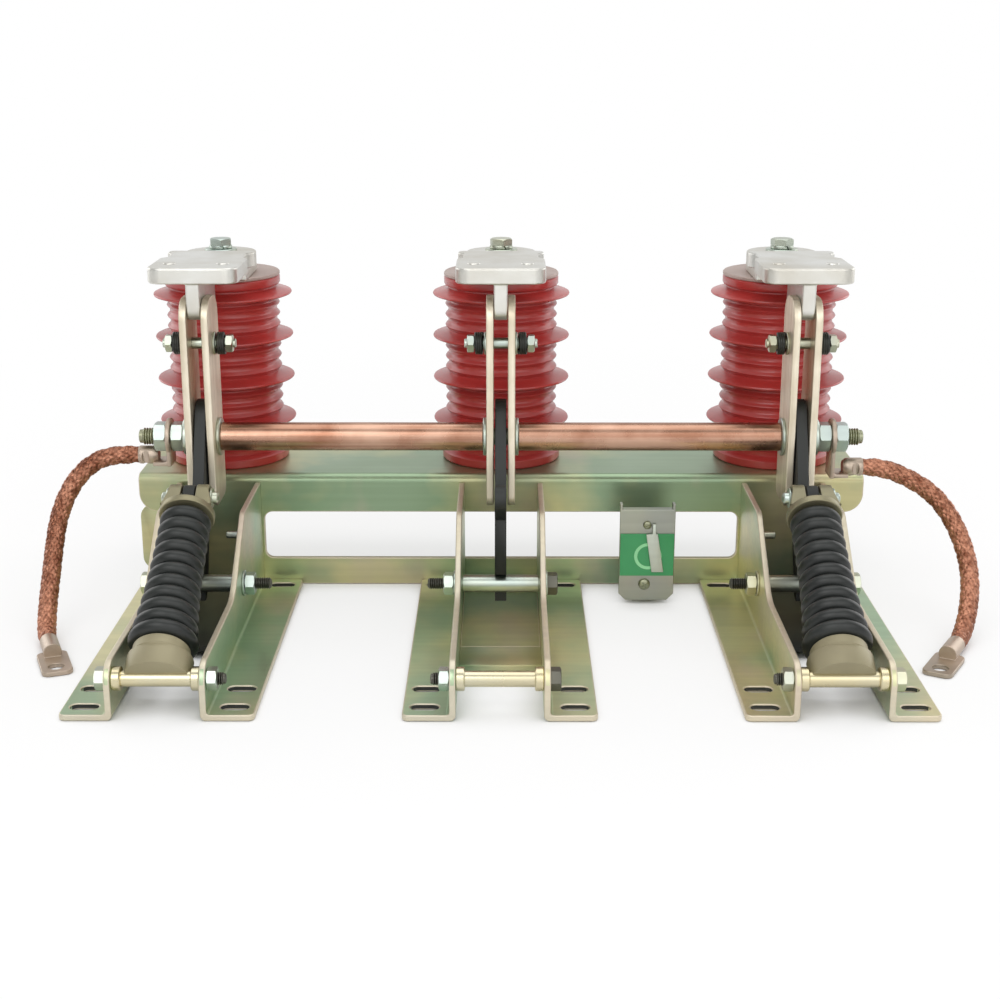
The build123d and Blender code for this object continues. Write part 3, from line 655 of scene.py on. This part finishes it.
def eased(node_name, width, segments=2, edge=None):
    """Copy of a CAD piece with its sharp edges rounded, which stands for it on the same body."""
    source = nodes[node_name]
    piece = bpy.data.objects.new(f"{node_name}_eased", source.data.copy())
    scene.collection.objects.link(piece)
    dress(piece, source["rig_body"], slot_of[node_name])
    if edge:
        piece.data.materials.append(finishes[edge])
        # The third finish, for slot walls and the outer legs' floors, is the dark sheet of painted shade
        piece.data.materials.append(finishes["painted_shade_sheet"])
    edit(piece)
    bpy.ops.mesh.remove_doubles(threshold=weld_reach)
    bpy.ops.mesh.dissolve_limited(angle_limit=math.radians(0.5))
    bpy.ops.object.mode_set(mode="OBJECT")
    if edge:
        mark_cut_edges(piece.data, sheet_t)
    apply_modifier(piece, "BEVEL", width=width, segments=segments, limit_method="ANGLE", loop_slide=False,
                   angle_limit=math.radians(38), use_clamp_overlap=False, material=1 if edge else -1)
    smooth(piece, 50.0)
    apply_modifier(piece, "WEIGHTED_NORMAL", keep_sharp=True)
    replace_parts(piece, node_name)
    return piece


def join(name, pieces):
    """One piece made of several."""
    bpy.ops.object.select_all(action="DESELECT")
    for piece in pieces:
        piece.select_set(True)
    bpy.context.view_layer.objects.active = pieces[0]
    bpy.ops.object.join()
    pieces[0].name = name
    return pieces[0]


def cut(piece, tool, operation="DIFFERENCE"):
    """Cut a piece with another one, which is used up."""
    apply_modifier(piece, "BOOLEAN", operation=operation, solver="EXACT", object=tool)
    bpy.data.objects.remove(tool)
    return piece


def annulus(name, radius, stroke, thick):
    """Flat ring on the XY plane."""
    bpy.ops.object.select_all(action="DESELECT")
    bpy.ops.mesh.primitive_circle_add(vertices=48, radius=radius, fill_type="NGON")
    piece = bpy.context.object
    piece.name = name
    edit(piece)
    bpy.ops.mesh.inset(thickness=stroke)
    bpy.ops.mesh.delete(type="FACE")
    bpy.ops.mesh.select_all(action="SELECT")
    bpy.ops.mesh.extrude_region_move(TRANSFORM_OT_translate={"value": (0, 0, thick)})
    close_edit()
    return piece


def outline_plate(name, points, thick):
    """Flat plate with an outline in XZ, thickened towards the front."""
    mesh = bpy.data.meshes.new(name)
    mesh.from_pydata([(x, 0, z) for x, z in points], [], [tuple(range(len(points)))])
    piece = bpy.data.objects.new(name, mesh)
    scene.collection.objects.link(piece)
    edit(piece)
    bpy.ops.mesh.extrude_region_move(TRANSFORM_OT_translate={"value": (0, -thick, 0)})
    close_edit()
    apply_modifier(piece, "BEVEL", width=plate_ease, segments=2, limit_method="ANGLE")
    smooth(piece)
    return piece


# Fasteners, modelled upwards from Z = 0

def washer(name, radius, thick, steps=40):
    """Flat washer with softly stamped edges."""
    ease = 0.25 * thick
    profile = [(radius - ease, 0), (radius, ease), (radius, thick - ease), (radius - ease, thick)]
    return lathe(name, profile, steps)


def hexagon(name, across, thick, lower_turned=True):
    """Hexagon nut or head with its corners turned off at 30 degrees."""
    corner = across / math.sqrt(3)
    face = 0.47 * across
    bpy.ops.object.select_all(action="DESELECT")
    bpy.ops.mesh.primitive_cylinder_add(vertices=6, radius=corner, depth=thick, location=(0, 0, thick / 2))
    piece = bpy.context.object
    piece.name = name
    bpy.ops.object.transform_apply(location=True)
    wide = 1.04 * corner
    drop = (wide - face) * math.tan(math.radians(30))
    turned = [(face, -hair), (wide, drop)] if lower_turned else [(wide, -hair)]
    cut(piece, lathe("turned", turned + [(wide, thick - drop), (face, thick + hair)]), "INTERSECT")
    smooth(piece, 25.0)
    return piece


def thread(name, radius, length, pitch):
    """Threaded length with a turned tip."""
    depth = 0.6 * pitch
    turns = int((length - depth) / pitch)
    profile = []
    for turn in range(turns):
        z = turn * pitch
        profile += [(radius - depth, z), (radius, z + 0.38 * pitch), (radius, z + 0.62 * pitch)]
    profile += [(radius - depth, turns * pitch), (radius - 1.15 * depth, length - 0.5 * depth),
                (radius - 2 * depth, length)]
    return lathe(name, profile, 28)


def coil(name, mean_r, wire_r, turns, length):
    """Helical spring of round wire."""
    bpy.ops.object.select_all(action="DESELECT")
    bpy.ops.mesh.primitive_circle_add(vertices=10, radius=wire_r, location=(mean_r, 0, wire_r),
                                      rotation=(math.pi / 2, 0, 0))
    piece = bpy.context.object
    piece.name = name
    bpy.ops.object.transform_apply(location=True, rotation=True)
    apply_modifier(piece, "SCREW", axis="Z", angle=2 * math.pi, screw_offset=(length - 2 * wire_r) / turns,
                   iterations=turns, steps=28, render_steps=28)
    edit(piece)
    bpy.ops.mesh.fill_holes(sides=12)
    close_edit()
    smooth(piece, 60.0)
    return piece


def pan_screw(name, radius, height):
    """Domed screw head with a cross recess."""
    profile = [(0.96 * radius, 0), (radius, 0.12 * height), (0.985 * radius, 0.4 * height),
               (0.9 * radius, 0.68 * height), (0.7 * radius, 0.88 * height), (0.36 * radius, 0.98 * height),
               (0.1 * radius, height)]
    piece = lathe(name, profile, 32)
    for turn in (0, math.pi / 2):
        bpy.ops.mesh.primitive_cube_add(size=1, location=(0, 0, height))
        slot = bpy.context.object
        slot.scale = (1.1 * radius, 0.22 * radius, 0.9 * height)
        slot.rotation_euler = (0, 0, turn + 0.5)
        bpy.ops.object.transform_apply(location=True, rotation=True, scale=True)
        cut(piece, slot)
    smooth(piece, 40.0)
    return piece


def along_x(x, y, z, hand):
    """Place that turns a piece's Z to +X or -X."""
    return Matrix.Translation((x, y, z)) @ Matrix.Rotation(hand * math.pi / 2, 4, "Y")


def on_axis(name, body, slot, y, z, parts, centres=(0.0,)):
    """Turned parts on an axis along X, each as (part, start, hand), repeated at each centre in one piece."""
    made = []
    for centre in centres:
        for part, start, hand in parts:
            made.append(copy_at(part, name, along_x(centre + start, y, z, hand)))
    for part in {part.name: part for part, start, hand in parts}.values():
        bpy.data.objects.remove(part)
    return dress(join(name, made), body, slot)


# Pieces

def make_insulators():
    """Glossy posts with four rounded sheds and fine ribs between them."""
    ease = insulator_ease
    profile = [(insulator_base_r - ease, 0), (insulator_base_r, ease), (insulator_base_r, insulator_base_h),
               (insulator_base_r - 1.5 * ease, insulator_base_h + 1.5 * ease),
               (insulator_body_r, insulator_base_h + 3 * ease)]
    lower = [(share_out, -share_up) for share_out, share_up in shed_shares]
    upper = list(reversed(shed_shares))
    sheds = [shed_first + shed_pitch * count for count in range(shed_count)]
    lowest_rib = shed_first - 2 * rib_pitch
    rib_total = int(round((sheds[-1] - lowest_rib) / rib_pitch))
    for step in range(rib_total + 1):
        z = lowest_rib + step * rib_pitch
        if any(abs(z - shed) < rib_pitch / 2 for shed in sheds):
            reach = shed_r - insulator_body_r
            for share_out, share_up in lower + [(1.0, 0.0)] + upper:
                profile.append((insulator_body_r + share_out * reach, z + share_up * shed_half_t))
        else:
            for turn in range(-3, 4):
                lift = 0.5 + 0.5 * math.cos(math.pi * turn / 3)
                out = insulator_body_r + lift * (rib_r - insulator_body_r)
                profile.append((out, z + turn * rib_half_t / 3))
    rim_z = insulator_h - insulator_rim_h
    profile += [(insulator_body_r, rim_z - 1.5 * ease), (insulator_rim_r - 0.8 * ease, rim_z - 0.4 * ease),
                (insulator_rim_r, rim_z + 0.8 * ease), (insulator_rim_r, insulator_h - ease),
                (insulator_rim_r - ease, insulator_h)]
    post = lathe("insulator_post", profile, 80)
    for name, x in pole_x.items():
        piece = copy_at(post, f"{name}_insulator_post", Matrix.Translation((x, insulator_y, insulator_z)))
        dress(piece, "root", "red_resin")
        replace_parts(piece, f"{name}_insulator")
        cap = washer(f"{name}_cap", insulator_rim_r, cap_t, 80)
        place(cap, Matrix.Translation((x, insulator_y, insulator_z + insulator_h)))
        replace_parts(dress(cap, "root", "insulator_cap"), f"{name}_insulator_cap")
    bpy.data.objects.remove(post)


def cartridge_matrix(x):
    """Frame of a spring cartridge: origin on the front rod, Z along the spring."""
    along = Vector((0, pin_y - rod_y, pin_z - rod_z)).normalized()
    across = Vector((1, 0, 0))
    third = along.cross(across)
    matrix = Matrix((across, third, along)).transposed().to_4x4()
    matrix.translation = (x, rod_y, rod_z)
    return matrix


def make_bellows():
    """Corrugated rubber covers that ride on the spring seats."""
    pitch = (bellows_end - bellows_start) / bellows_folds
    profile = []
    for fold in range(bellows_folds):
        rest = 1 - fold / (bellows_folds - 1)
        crest = bellows_high_r + (bellows_low_r - bellows_high_r) * rest ** bellows_flare
        for step in range(bellows_steps):
            share = step / bellows_steps
            profile.append((crest - bellows_fold * abs(2 * share - 1) ** bellows_power,
                            bellows_start + (fold + share) * pitch))
    profile.append((bellows_high_r - bellows_fold, bellows_end))
    cover = lathe("bellows", profile, 56)
    for name, x in outer_x.items():
        matrix = cartridge_matrix(x)
        piece = copy_at(cover, f"{name}_bellows", matrix)
        dress(piece, f"{name}_seat", "black_rubber")
        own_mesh(piece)
        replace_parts(piece, f"{name}_spring_bellows")
    bpy.data.objects.remove(cover)


def make_seats():
    """Spring seats: a disc under the bellows with a round-topped saddle against the front rod."""
    ease = seat_ease
    top = seat_rise + seat_t
    disc = lathe("disc", [(seat_r - ease, seat_rise), (seat_r, seat_rise + ease), (seat_r, top - ease),
                          (seat_r - ease, top)], 56)
    points = [(-seat_half, -seat_drop), (seat_half, -seat_drop)]
    for step in range(17):
        turn = math.pi * step / 16
        points.append((seat_half * math.cos(turn), (seat_r - ease) * math.sin(turn)))
    saddle = outline_plate("saddle", points, seat_rise + overlap)
    place(saddle, Matrix.Translation((0, 0, seat_rise + overlap)) @ Matrix.Rotation(math.pi / 2, 4, "X"))
    pair = join("seat", [disc, saddle])
    for name, x in outer_x.items():
        piece = copy_at(pair, f"{name}_seat_saddle", cartridge_matrix(x))
        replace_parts(dress(piece, f"{name}_seat", "tan_seat"), f"{name}_spring_seat")
    bpy.data.objects.remove(pair)


def route_points(name, route):
    """Points along the smooth curve of a strap's route."""
    curve = bpy.data.curves.new(f"{name}_line", "CURVE")
    curve.dimensions = "3D"
    line = curve.splines.new("NURBS")
    line.points.add(len(route) - 1)
    for point, spot in zip(line.points, route):
        point.co = (*spot, 1)
    line.order_u = 3
    line.use_endpoint_u = True
    line.resolution_u = 36
    holder = bpy.data.objects.new(f"{name}_line", curve)
    scene.collection.objects.link(holder)
    mesh = bpy.data.meshes.new_from_object(holder)
    points = [vertex.co.copy() for vertex in mesh.vertices]
    bpy.data.objects.remove(holder)
    return points


def tube_rings(vertices, faces, rings):
    """Skin a list of equal rings into a closed tube."""
    start = len(vertices)
    size = len(rings[0])
    for ring in rings:
        vertices.extend(ring)
    for row in range(len(rings) - 1):
        for spot in range(size):
            after = (spot + 1) % size
            low = start + row * size
            faces.append((low + spot, low + after, low + size + after, low + size + spot))
    last = start + (len(rings) - 1) * size
    faces.append(tuple(start + spot for spot in reversed(range(size))))
    faces.append(tuple(last + spot for spot in range(size)))


def make_strap(name, route):
    """Braided copper strap: two sets of flat strands that cross over and under round an oval core."""
    points = route_points(name, route)
    run = [0.0]
    for before, here in zip(points, points[1:]):
        run.append(run[-1] + (here - before).length)
    frames = []
    for index, here in enumerate(points):
        ahead = (points[min(index + 1, len(points) - 1)] - points[max(index - 1, 0)]).normalized()
        side = ahead.cross(Vector((0, -1, 0.2))).normalized()
        frames.append((here, ahead, side, ahead.cross(side)))
    outer = strand_thick + strand_lift
    vertices, faces = [], []
    core = []
    halves = []
    for (here, ahead, side, normal), length in zip(frames, run):
        neck = min(1.0, min(length, run[-1] - length) / strap_neck_len)
        share = strap_neck + (1 - strap_neck) * neck
        half_wide = share * strap_width / 2 - outer
        half_thick = share * strap_thick / 2 - outer
        halves.append((half_wide, half_thick))
        core.append([here + 0.9 * (half_wide * math.cos(turn) * side + half_thick * math.sin(turn) * normal)
                     for turn in [2 * math.pi * spot / 14 for spot in range(14)]])
    tube_rings(vertices, faces, core)
    for hand in (-1, 1):
        for strand in range(strand_count):
            rings = []
            for (here, ahead, side, normal), length, (half_wide, half_thick) in zip(frames, run, halves):
                wound = 2 * math.pi * length / strand_turn
                turn = hand * wound + 2 * math.pi * strand / strand_count
                weave = hand * math.cos(strand_count * wound + math.pi * strand)
                lift = strand_thick + strand_lift * (1 + weave) / 2
                over, up = math.cos(turn), math.sin(turn)
                out = (over / half_wide * side + up / half_thick * normal).normalized()
                centre = here + half_wide * over * side + half_thick * up * normal + lift * out
                lean = 2 * math.pi * half_wide / strand_turn
                forward = (ahead + hand * lean * ahead.cross(out).normalized()).normalized()
                wide = out.cross(forward).normalized()
                rings.append([centre + strand_wide * math.cos(a) * wide + strand_thick * math.sin(a) * out
                              for a in [2 * math.pi * spot / 6 for spot in range(6)]])
            tube_rings(vertices, faces, rings)
    mesh = bpy.data.meshes.new(f"{name}_strap")
    mesh.from_pydata(vertices, [], faces)
    piece = bpy.data.objects.new(f"{name}_strap", mesh)
    scene.collection.objects.link(piece)
    edit(piece)
    close_edit()
    smooth(piece, 70.0)
    piece.data.materials.append(finishes["copper_braid"])
    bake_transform(piece)
    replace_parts(piece, f"{name}_braid")


def make_upper_lug(name, hand, drop):
    """Angled cable lug on the end of the cross rod, with dents where its barrel is crimped."""
    low = tube_z - drop - barrel_r
    flank = math.degrees(math.acos(tongue_half / lug_r))
    points = [(-tongue_half, low), (tongue_half, low)]
    for step in range(25):
        turn = math.radians(-flank + (180 + 2 * flank) * step / 24)
        points.append((lug_r * math.cos(turn), tube_z + lug_r * math.sin(turn)))
    ring = outline_plate("ring", points, lug_t)
    ring_x = lug_x if hand > 0 else -lug_x - lug_t
    place(ring, Matrix.Translation((ring_x, blade_y, 0)) @ Matrix.Rotation(math.pi / 2, 4, "Z"))
    inner, outer, bent = lug_t - overlap, tongue_len + overlap, lug_t + lug_bend
    crease = lug_t + 0.3 * lug_bend
    bend = [(inner, lug_inset), (outer, lug_inset), (outer, lug_t), (bent, lug_t), (crease, crease),
            (lug_t - lug_inset, bent), (inner, bent)]
    foot_half = tongue_half - lug_inset
    foot = outline_plate("foot", [(hand * (lug_x + x), low + z) for x, z in bend], 2 * foot_half)
    place(foot, Matrix.Translation((0, blade_y + foot_half, 0)))
    barrel = lathe("barrel", [(0.7 * barrel_r, -lug_bend), (0.94 * barrel_r, 0), (barrel_r, barrel_neck),
                              (barrel_r, barrel_len - barrel_lip), (0.94 * barrel_r, barrel_len)], 40)
    middle = Vector((hand * (lug_x + tongue_len + 0.55 * barrel_len), blade_y, tube_z - drop))
    place(barrel, along_x(hand * (lug_x + tongue_len), blade_y, tube_z - drop, hand))
    for lean in (0, math.pi / 2):
        dent = lathe("dent", [(dent_r, -barrel_len), (dent_r, barrel_len)], 24)
        place(dent, Matrix.Translation(middle) @ Matrix.Rotation(lean, 4, "X")
              @ Matrix.Translation((0, -barrel_r - dent_off, 0)))
        cut(barrel, dent)
    smooth(barrel, 40.0)
    node_name = f"{name}_upper_lug"
    piece = dress(join(f"{name}_lug", [ring, foot, barrel]), nodes[node_name]["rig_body"], "tinned_lug")
    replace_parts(piece, node_name)


def make_straps():
    """Both straps, each with its lug lying flat on the floor."""
    for side, route in (("left", left_strap_route), ("right", right_strap_route)):
        lug = eased(f"{side}_earth_lug", lug_ease)
        for point in lug.data.vertices:
            point.co.z = max(point.co.z, 0.0)
        make_strap(side, route)


def make_base():
    """Bent base, leg plates and leg floors, with worn cut edges; the outer legs' floors and the slot walls
    carry a dark finish that is painted shade.
    """
    for leg in pole_x:
        for hand in ("left", "right"):
            plate = eased(f"{leg}_leg_{hand}_plate", sheet_ease, edge="cut_edge")
            # The leg plates take the lighter copy of the sheet finish: painted light
            plate.data.materials[0] = finishes["sheet_painted_light"]
    eased("base_frame", sheet_ease, edge="cut_edge")
    floors = eased("leg_floors", sheet_ease, edge="cut_edge")
    # The outer legs' floors take the dark finish: painted shade inside the outer legs
    for face in floors.data.polygons:
        if abs(face.center.x) > leg_half:
            face.material_index = 2


def make_swing_frame():
    """Blades, arms with open hubs, pivot sleeves, copper tubes with their lugs, and spring yokes."""
    for leg, x in pole_x.items():
        eased(f"{leg}_blades", blade_ease)
        arm = eased(f"{leg}_swing_arm", arm_ease)
        notch = outline_plate("notch", arm_notch, notch_t)
        place(notch, Matrix.Translation((x - notch_t / 2, 0, 0)) @ Matrix.Rotation(math.pi / 2, 4, "Z"))
        smooth(cut(arm, notch), 50.0)
    eased("pivot_sleeves", small_ease)
    for side in outer_x:
        eased(f"{side}_cross_tube", tube_ease)
        make_upper_lug(side, 1 if side == "right" else -1, lug_drop[side])
        yoke = eased(f"{side}_spring_yoke", yoke_ease)
        yoke.data.materials[0] = finishes["grey_yoke"]


def through_bolt(name, y, z, across, thick, start, tail_len):
    """Heads, nuts and threaded ends of the legs' cross bolts, whose ends point to the middle or the left;
    the middle leg's head takes the dark finish of the ends as painted shade.
    """
    heads, tails = [], []
    head, nut = hexagon("head", across, thick, False), hexagon("nut", across, thick)
    tail = thread("tail", leg_bolt_r, start - leg_half + thick + tail_len, leg_bolt_pitch)
    for leg, x in pole_x.items():
        hand = 1 if leg == "left" else -1
        # The middle leg's head goes with the dark threaded ends: painted shade on a head that stands in
        # shadow
        dark = tails if leg == "middle" else heads
        dark.append(copy_at(head, name, along_x(x - hand * start, y, z, -hand)))
        heads.append(copy_at(nut, name, along_x(x + hand * start, y, z, hand)))
        tails.append(copy_at(tail, name, along_x(x + hand * leg_half, y, z, hand)))
    for part in (head, nut, tail):
        bpy.data.objects.remove(part)
    ends = dress(join(f"{name}_ends", tails), "root", "zinc_bolts")
    ends.data.materials[0] = finishes["thread_steel"]
    return dress(join(f"{name}_nuts", heads), "root", "zinc_bolts")


def make_tie_rods():
    """Sleeved rods through the noses of the legs, with collars at both ends."""
    ease = collar_ease
    shoulder = leg_inner - collar_len
    right = [(sleeve_r, shoulder - collar_slope), (collar_r - ease, shoulder), (collar_r, shoulder + ease),
             (collar_r, leg_inner - ease), (collar_r - ease, leg_inner)]
    profile = [(radius, -x) for radius, x in reversed(right)] + right
    rods = on_axis("tie_rod_sleeves", "root", "zinc_bolts", rod_y, rod_z,
                   [(lathe("sleeve", profile, 40), 0, 1)], pole_x.values())
    rods.data.materials[0] = finishes["yellow_zinc"]
    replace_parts(rods, "tie_rods")
    through_bolt("tie_rod", rod_y, rod_z, tie_across, tie_head_t, leg_half, tie_tail)


def make_pivot_bolts():
    """Pivot bolts of the legs, with a washer under each head and nut."""
    shank = lathe("shank", [(leg_bolt_r, -leg_half), (leg_bolt_r, leg_half)], 24)
    plain = washer("plain", pivot_washer_r, pivot_washer_t)
    bolts = on_axis("pivot_bolt_washers", "root", "zinc_bolts", pivot_y, pivot_z,
                    [(shank, 0, 1), (plain, -leg_half, -1), (plain, leg_half, 1)], pole_x.values())
    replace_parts(bolts, "pivot_bolts")
    through_bolt("pivot_bolt", pivot_y, pivot_z, pivot_across, pivot_head_t, leg_half + pivot_washer_t,
                 pivot_tail)


def make_panel_end():
    """Free end of the front panel beside the left leg, with rounded corners."""
    (x0, x1), (z0, z1) = panel_end_x, panel_end_z
    points = [(x1, z0)]
    for centre_z, first in ((z0 + panel_end_r, 270), (z1 - panel_end_r, 180)):
        for step in range(7):
            turn = math.radians(first - 15 * step)
            points.append((x0 + panel_end_r * (1 + math.cos(turn)), centre_z + panel_end_r * math.sin(turn)))
    piece = outline_plate("left_panel_end", points + [(x1, z1)], panel_end_t)
    place(piece, Matrix.Translation((0, panel_end_y + panel_end_t, 0)))
    dress(piece, "root", "zinc_sheet")


def make_floor_front():
    """Front of the middle leg's floor, which reaches nearly to its tie rod."""
    outline = [(-leg_inner, floor_low_z), (leg_inner, floor_low_z), (leg_inner, floor_low_z + sheet_t),
               (-leg_inner, floor_low_z + sheet_t)]
    piece = outline_plate("middle_floor_front", outline, floor_end_y - floor_front_y)
    place(piece, Matrix.Translation((0, floor_end_y, 0)))
    dress(piece, "root", "zinc_sheet")


def make_terminal_bolts():
    """Hexagon bolts with a flat and a split washer on the rear pads of the contacts."""
    split = washer("split", split_r, split_t)
    bpy.ops.mesh.primitive_cube_add(size=1, location=(split_x, 0, split_t / 2))
    gap = bpy.context.object
    gap.scale = (split_cut, split_gap, split_cut)
    gap.rotation_euler = (split_lean, 0, 0)
    bpy.ops.object.transform_apply(location=True, rotation=True, scale=True)
    cut(split, gap)
    head = hexagon("head", terminal_across, terminal_head_t, False)
    parts = [(washer("plain", terminal_washer_r, terminal_washer_t), 0.0), (split, terminal_washer_t),
             (head, terminal_washer_t + split_t)]
    made = []
    for x in pole_x.values():
        for part, rise in parts:
            turn = Matrix.Rotation(split_turn if part == split else head_turn, 4, "Z")
            spot = Matrix.Translation((x, insulator_y, pad_top_z + rise))
            made.append(copy_at(part, "terminal", spot @ turn))
    for part, rise in parts:
        bpy.data.objects.remove(part)
    bolts = dress(join("terminal_bolt_heads", made), "root", "zinc_bolts")
    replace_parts(bolts, "terminal_bolts")


def make_insulator_bolts():
    """Hexagon heads with washers that hold the insulators from under the top plate."""
    parts = [washer("plain", under_washer_r, under_washer_t),
             hexagon("head", under_across, under_head_t, False)]
    down = Matrix.Rotation(math.pi, 4, "X")
    made = []
    for x in pole_x.values():
        for part, drop in zip(parts, (0.0, under_washer_t)):
            spot = Matrix.Translation((x, insulator_y, plate_under_z - drop))
            made.append(copy_at(part, "under", spot @ down))
    for part in parts:
        bpy.data.objects.remove(part)
    dress(join("insulator_bolt_heads", made), "root", "zinc_bolts")


def make_cross_rod():
    """Long rod in the copper tubes: washers beside the blades, nuts and threaded ends."""
    inner, outer, end = blade_out, outer_x["right"] - blade_out, outer_x["right"] + blade_out
    thin = washer("thin", cross_washer_r, thin_washer_t)
    thick = washer("thick", cross_washer_r, thick_washer_t)
    nut = hexagon("nut", cross_across, cross_nut_t)
    parts = []
    for hand in (-1, 1):
        parts += [(thin, hand * inner, hand), (thin, hand * outer, -hand), (thick, hand * end, hand),
                  (nut, hand * (end + thick_washer_t), hand), (nut, hand * (lug_x + lug_t), hand)]
    rod = on_axis("cross_rod_nuts", "blades", "zinc_bolts", blade_y, tube_z, parts)
    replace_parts(rod, "cross_rod")
    shank = lathe("shank", [(cross_rod_r, -end - overlap), (cross_rod_r, end + overlap)], 32)
    tail = thread("tail", cross_rod_r, cross_tail, cross_pitch)
    tails = on_axis("cross_rod_thread", "blades", "zinc_bolts", blade_y, tube_z,
                    [(shank, 0, 1), (tail, -end, -1), (tail, end, 1)])
    tails.data.materials[0] = finishes["olive_thread"]


def make_pressure_bolts():
    """Bolts that press each pair of blades together through short coil springs."""
    centres = pole_x.values()
    spring_x = blade_out + cup_t
    nut_x = spring_x + spring_len
    cup = washer("cup", cup_r, cup_t)
    nut = hexagon("nut", pressure_across, pressure_nut_t)
    tip = thread("tip", pressure_r, pressure_tail, pressure_pitch)
    shank = lathe("shank", [(pressure_r, -blade_out), (pressure_r, blade_out)], 24)
    parts = [(shank, 0, 1)]
    for hand in (-1, 1):
        parts += [(cup, hand * blade_out, hand), (nut, hand * nut_x, hand), (tip, hand * blade_out, hand)]
    bolts = on_axis("pressure_bolt_nuts", "blades", "zinc_bolts", blade_y, pressure_z, parts, centres)
    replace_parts(bolts, "pressure_bolts")
    spring = coil("spring", spring_mean_r, spring_wire_r, spring_turns, spring_len)
    springs = on_axis("pressure_coils", "blades", "dark_spring", blade_y, pressure_z,
                      [(spring, spring_x, 1), (spring, -spring_x, -1)], centres)
    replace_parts(springs, "pressure_springs")


def make_yoke_pins():
    """Pins of the spring yokes, with washers and domed ends."""
    end = [(yoke_pin_r, yoke_pin_half - yoke_pin_dome), (0.85 * yoke_pin_r, yoke_pin_half - yoke_pin_brow),
           (0.5 * yoke_pin_r, yoke_pin_half)]
    pin = lathe("pin", [(radius, -x) for radius, x in reversed(end)] + end, 28)
    side = washer("side", yoke_washer_r, yoke_washer_t)
    pins = on_axis("yoke_pin_ends", "blades", slot_of["yoke_pins"], pin_y, pin_z,
                   [(pin, 0, 1), (side, yoke_half, 1), (side, -yoke_half, -1)], outer_x.values())
    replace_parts(pins, "yoke_pins")


def make_stop_pins():
    """Short stop pins on the inner plates of the outer legs."""
    pin = lathe("pin", [(stop_r, 0), (stop_r, stop_len - stop_ease), (0.7 * stop_r, stop_len)], 20)
    edge = outer_x["right"] - leg_inner
    on_axis("stop_pins", "root", "zinc_bolts", stop_y, stop_z, [(pin, -edge, -1), (pin, edge, 1)])


def make_contacts():
    """Fixed contacts, with two flat rivet heads on each."""
    head = lathe("rivet", [(rivet_r, 0), (0.97 * rivet_r, 0.5 * rivet_h), (0.85 * rivet_r, 0.85 * rivet_h),
                           (0.5 * rivet_r, rivet_h), (0.1 * rivet_r, 1.02 * rivet_h)], 28)
    rivets = []
    for name, x in pole_x.items():
        eased(f"{name}_fixed_contact", contact_ease, 3)
        for side in (-1, 1):
            spot = Matrix.Translation((x + side * rivet_x, rivet_y, contact_top_z))
            rivets.append(copy_at(head, "rivets", spot))
    bpy.data.objects.remove(head)
    dress(join("contact_rivets", rivets), "root", "cast_contact")


def make_indicator():
    """Indicator: plate and green field, printed ring, leaning pointer and the screws of the plate."""
    for node_name in ("indicator_bracket", "indicator_face"):
        eased(node_name, small_ease)
    facing = Matrix.Rotation(math.pi / 2, 4, "X")
    ring = annulus("indicator_ring", ring_r, ring_stroke, ring_t)
    place(ring, Matrix.Translation((ring_x, sign_y, ring_z)) @ facing)
    dress(ring, "root", "indicator_green")
    ring.data.materials[0] = finishes["ring_print"]
    pointer = outline_plate("indicator_bar", pointer_outline, pointer_t)
    place(pointer, Matrix.Translation((0, sign_y, 0)))
    dress(pointer, "root", slot_of["indicator_pointer"])
    pointer.data.materials[0] = finishes["pale_pointer"]
    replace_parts(pointer, "indicator_pointer")
    heads = []
    for x, z, radius, height in sign_screws:
        head = pan_screw("sign_screw", radius, height)
        heads.append(place(head, Matrix.Translation((x, sign_y + sign_sink, z)) @ facing))
    screws = dress(join("indicator_screws", heads), "root", "zinc_bolts")
    screws.data.materials[0] = finishes["olive_thread"]


make_camera()
make_world(0.36, 0.90, 0.62)
make_lamp("key_box", (-1.0, -2.0, 1.8), 1.8, 17)
make_lamp("front_box", (0.15, -2.3, 0.9), 2.4, 16)
make_lamp("fill_box", (1.5, -1.7, 1.3), 2.0, 12)
make_lamp("top_box", (0.1, 0.3, 2.1), 1.8, 13)
make_lamp("left_rim", (-1.3, 0.75, 0.55), 1.0, 4)
make_lamp("right_rim", (1.3, 0.75, 0.55), 1.0, 4)
make_floor(6.0, 0.68, 0.42, 1.05)
finishes = make_finishes()

for node_name, node in nodes.items():
    node.data.materials.clear()
    node.data.materials.append(finishes[slot_of[node_name]])

make_straps()
make_bellows()
make_seats()
make_insulators()
make_contacts()
make_base()
make_panel_end()
make_floor_front()
make_swing_frame()
make_tie_rods()
make_pivot_bolts()
make_terminal_bolts()
make_insulator_bolts()
make_cross_rod()
make_pressure_bolts()
make_yoke_pins()
make_stop_pins()
make_indicator()

scene.view_settings.view_transform = "Standard"
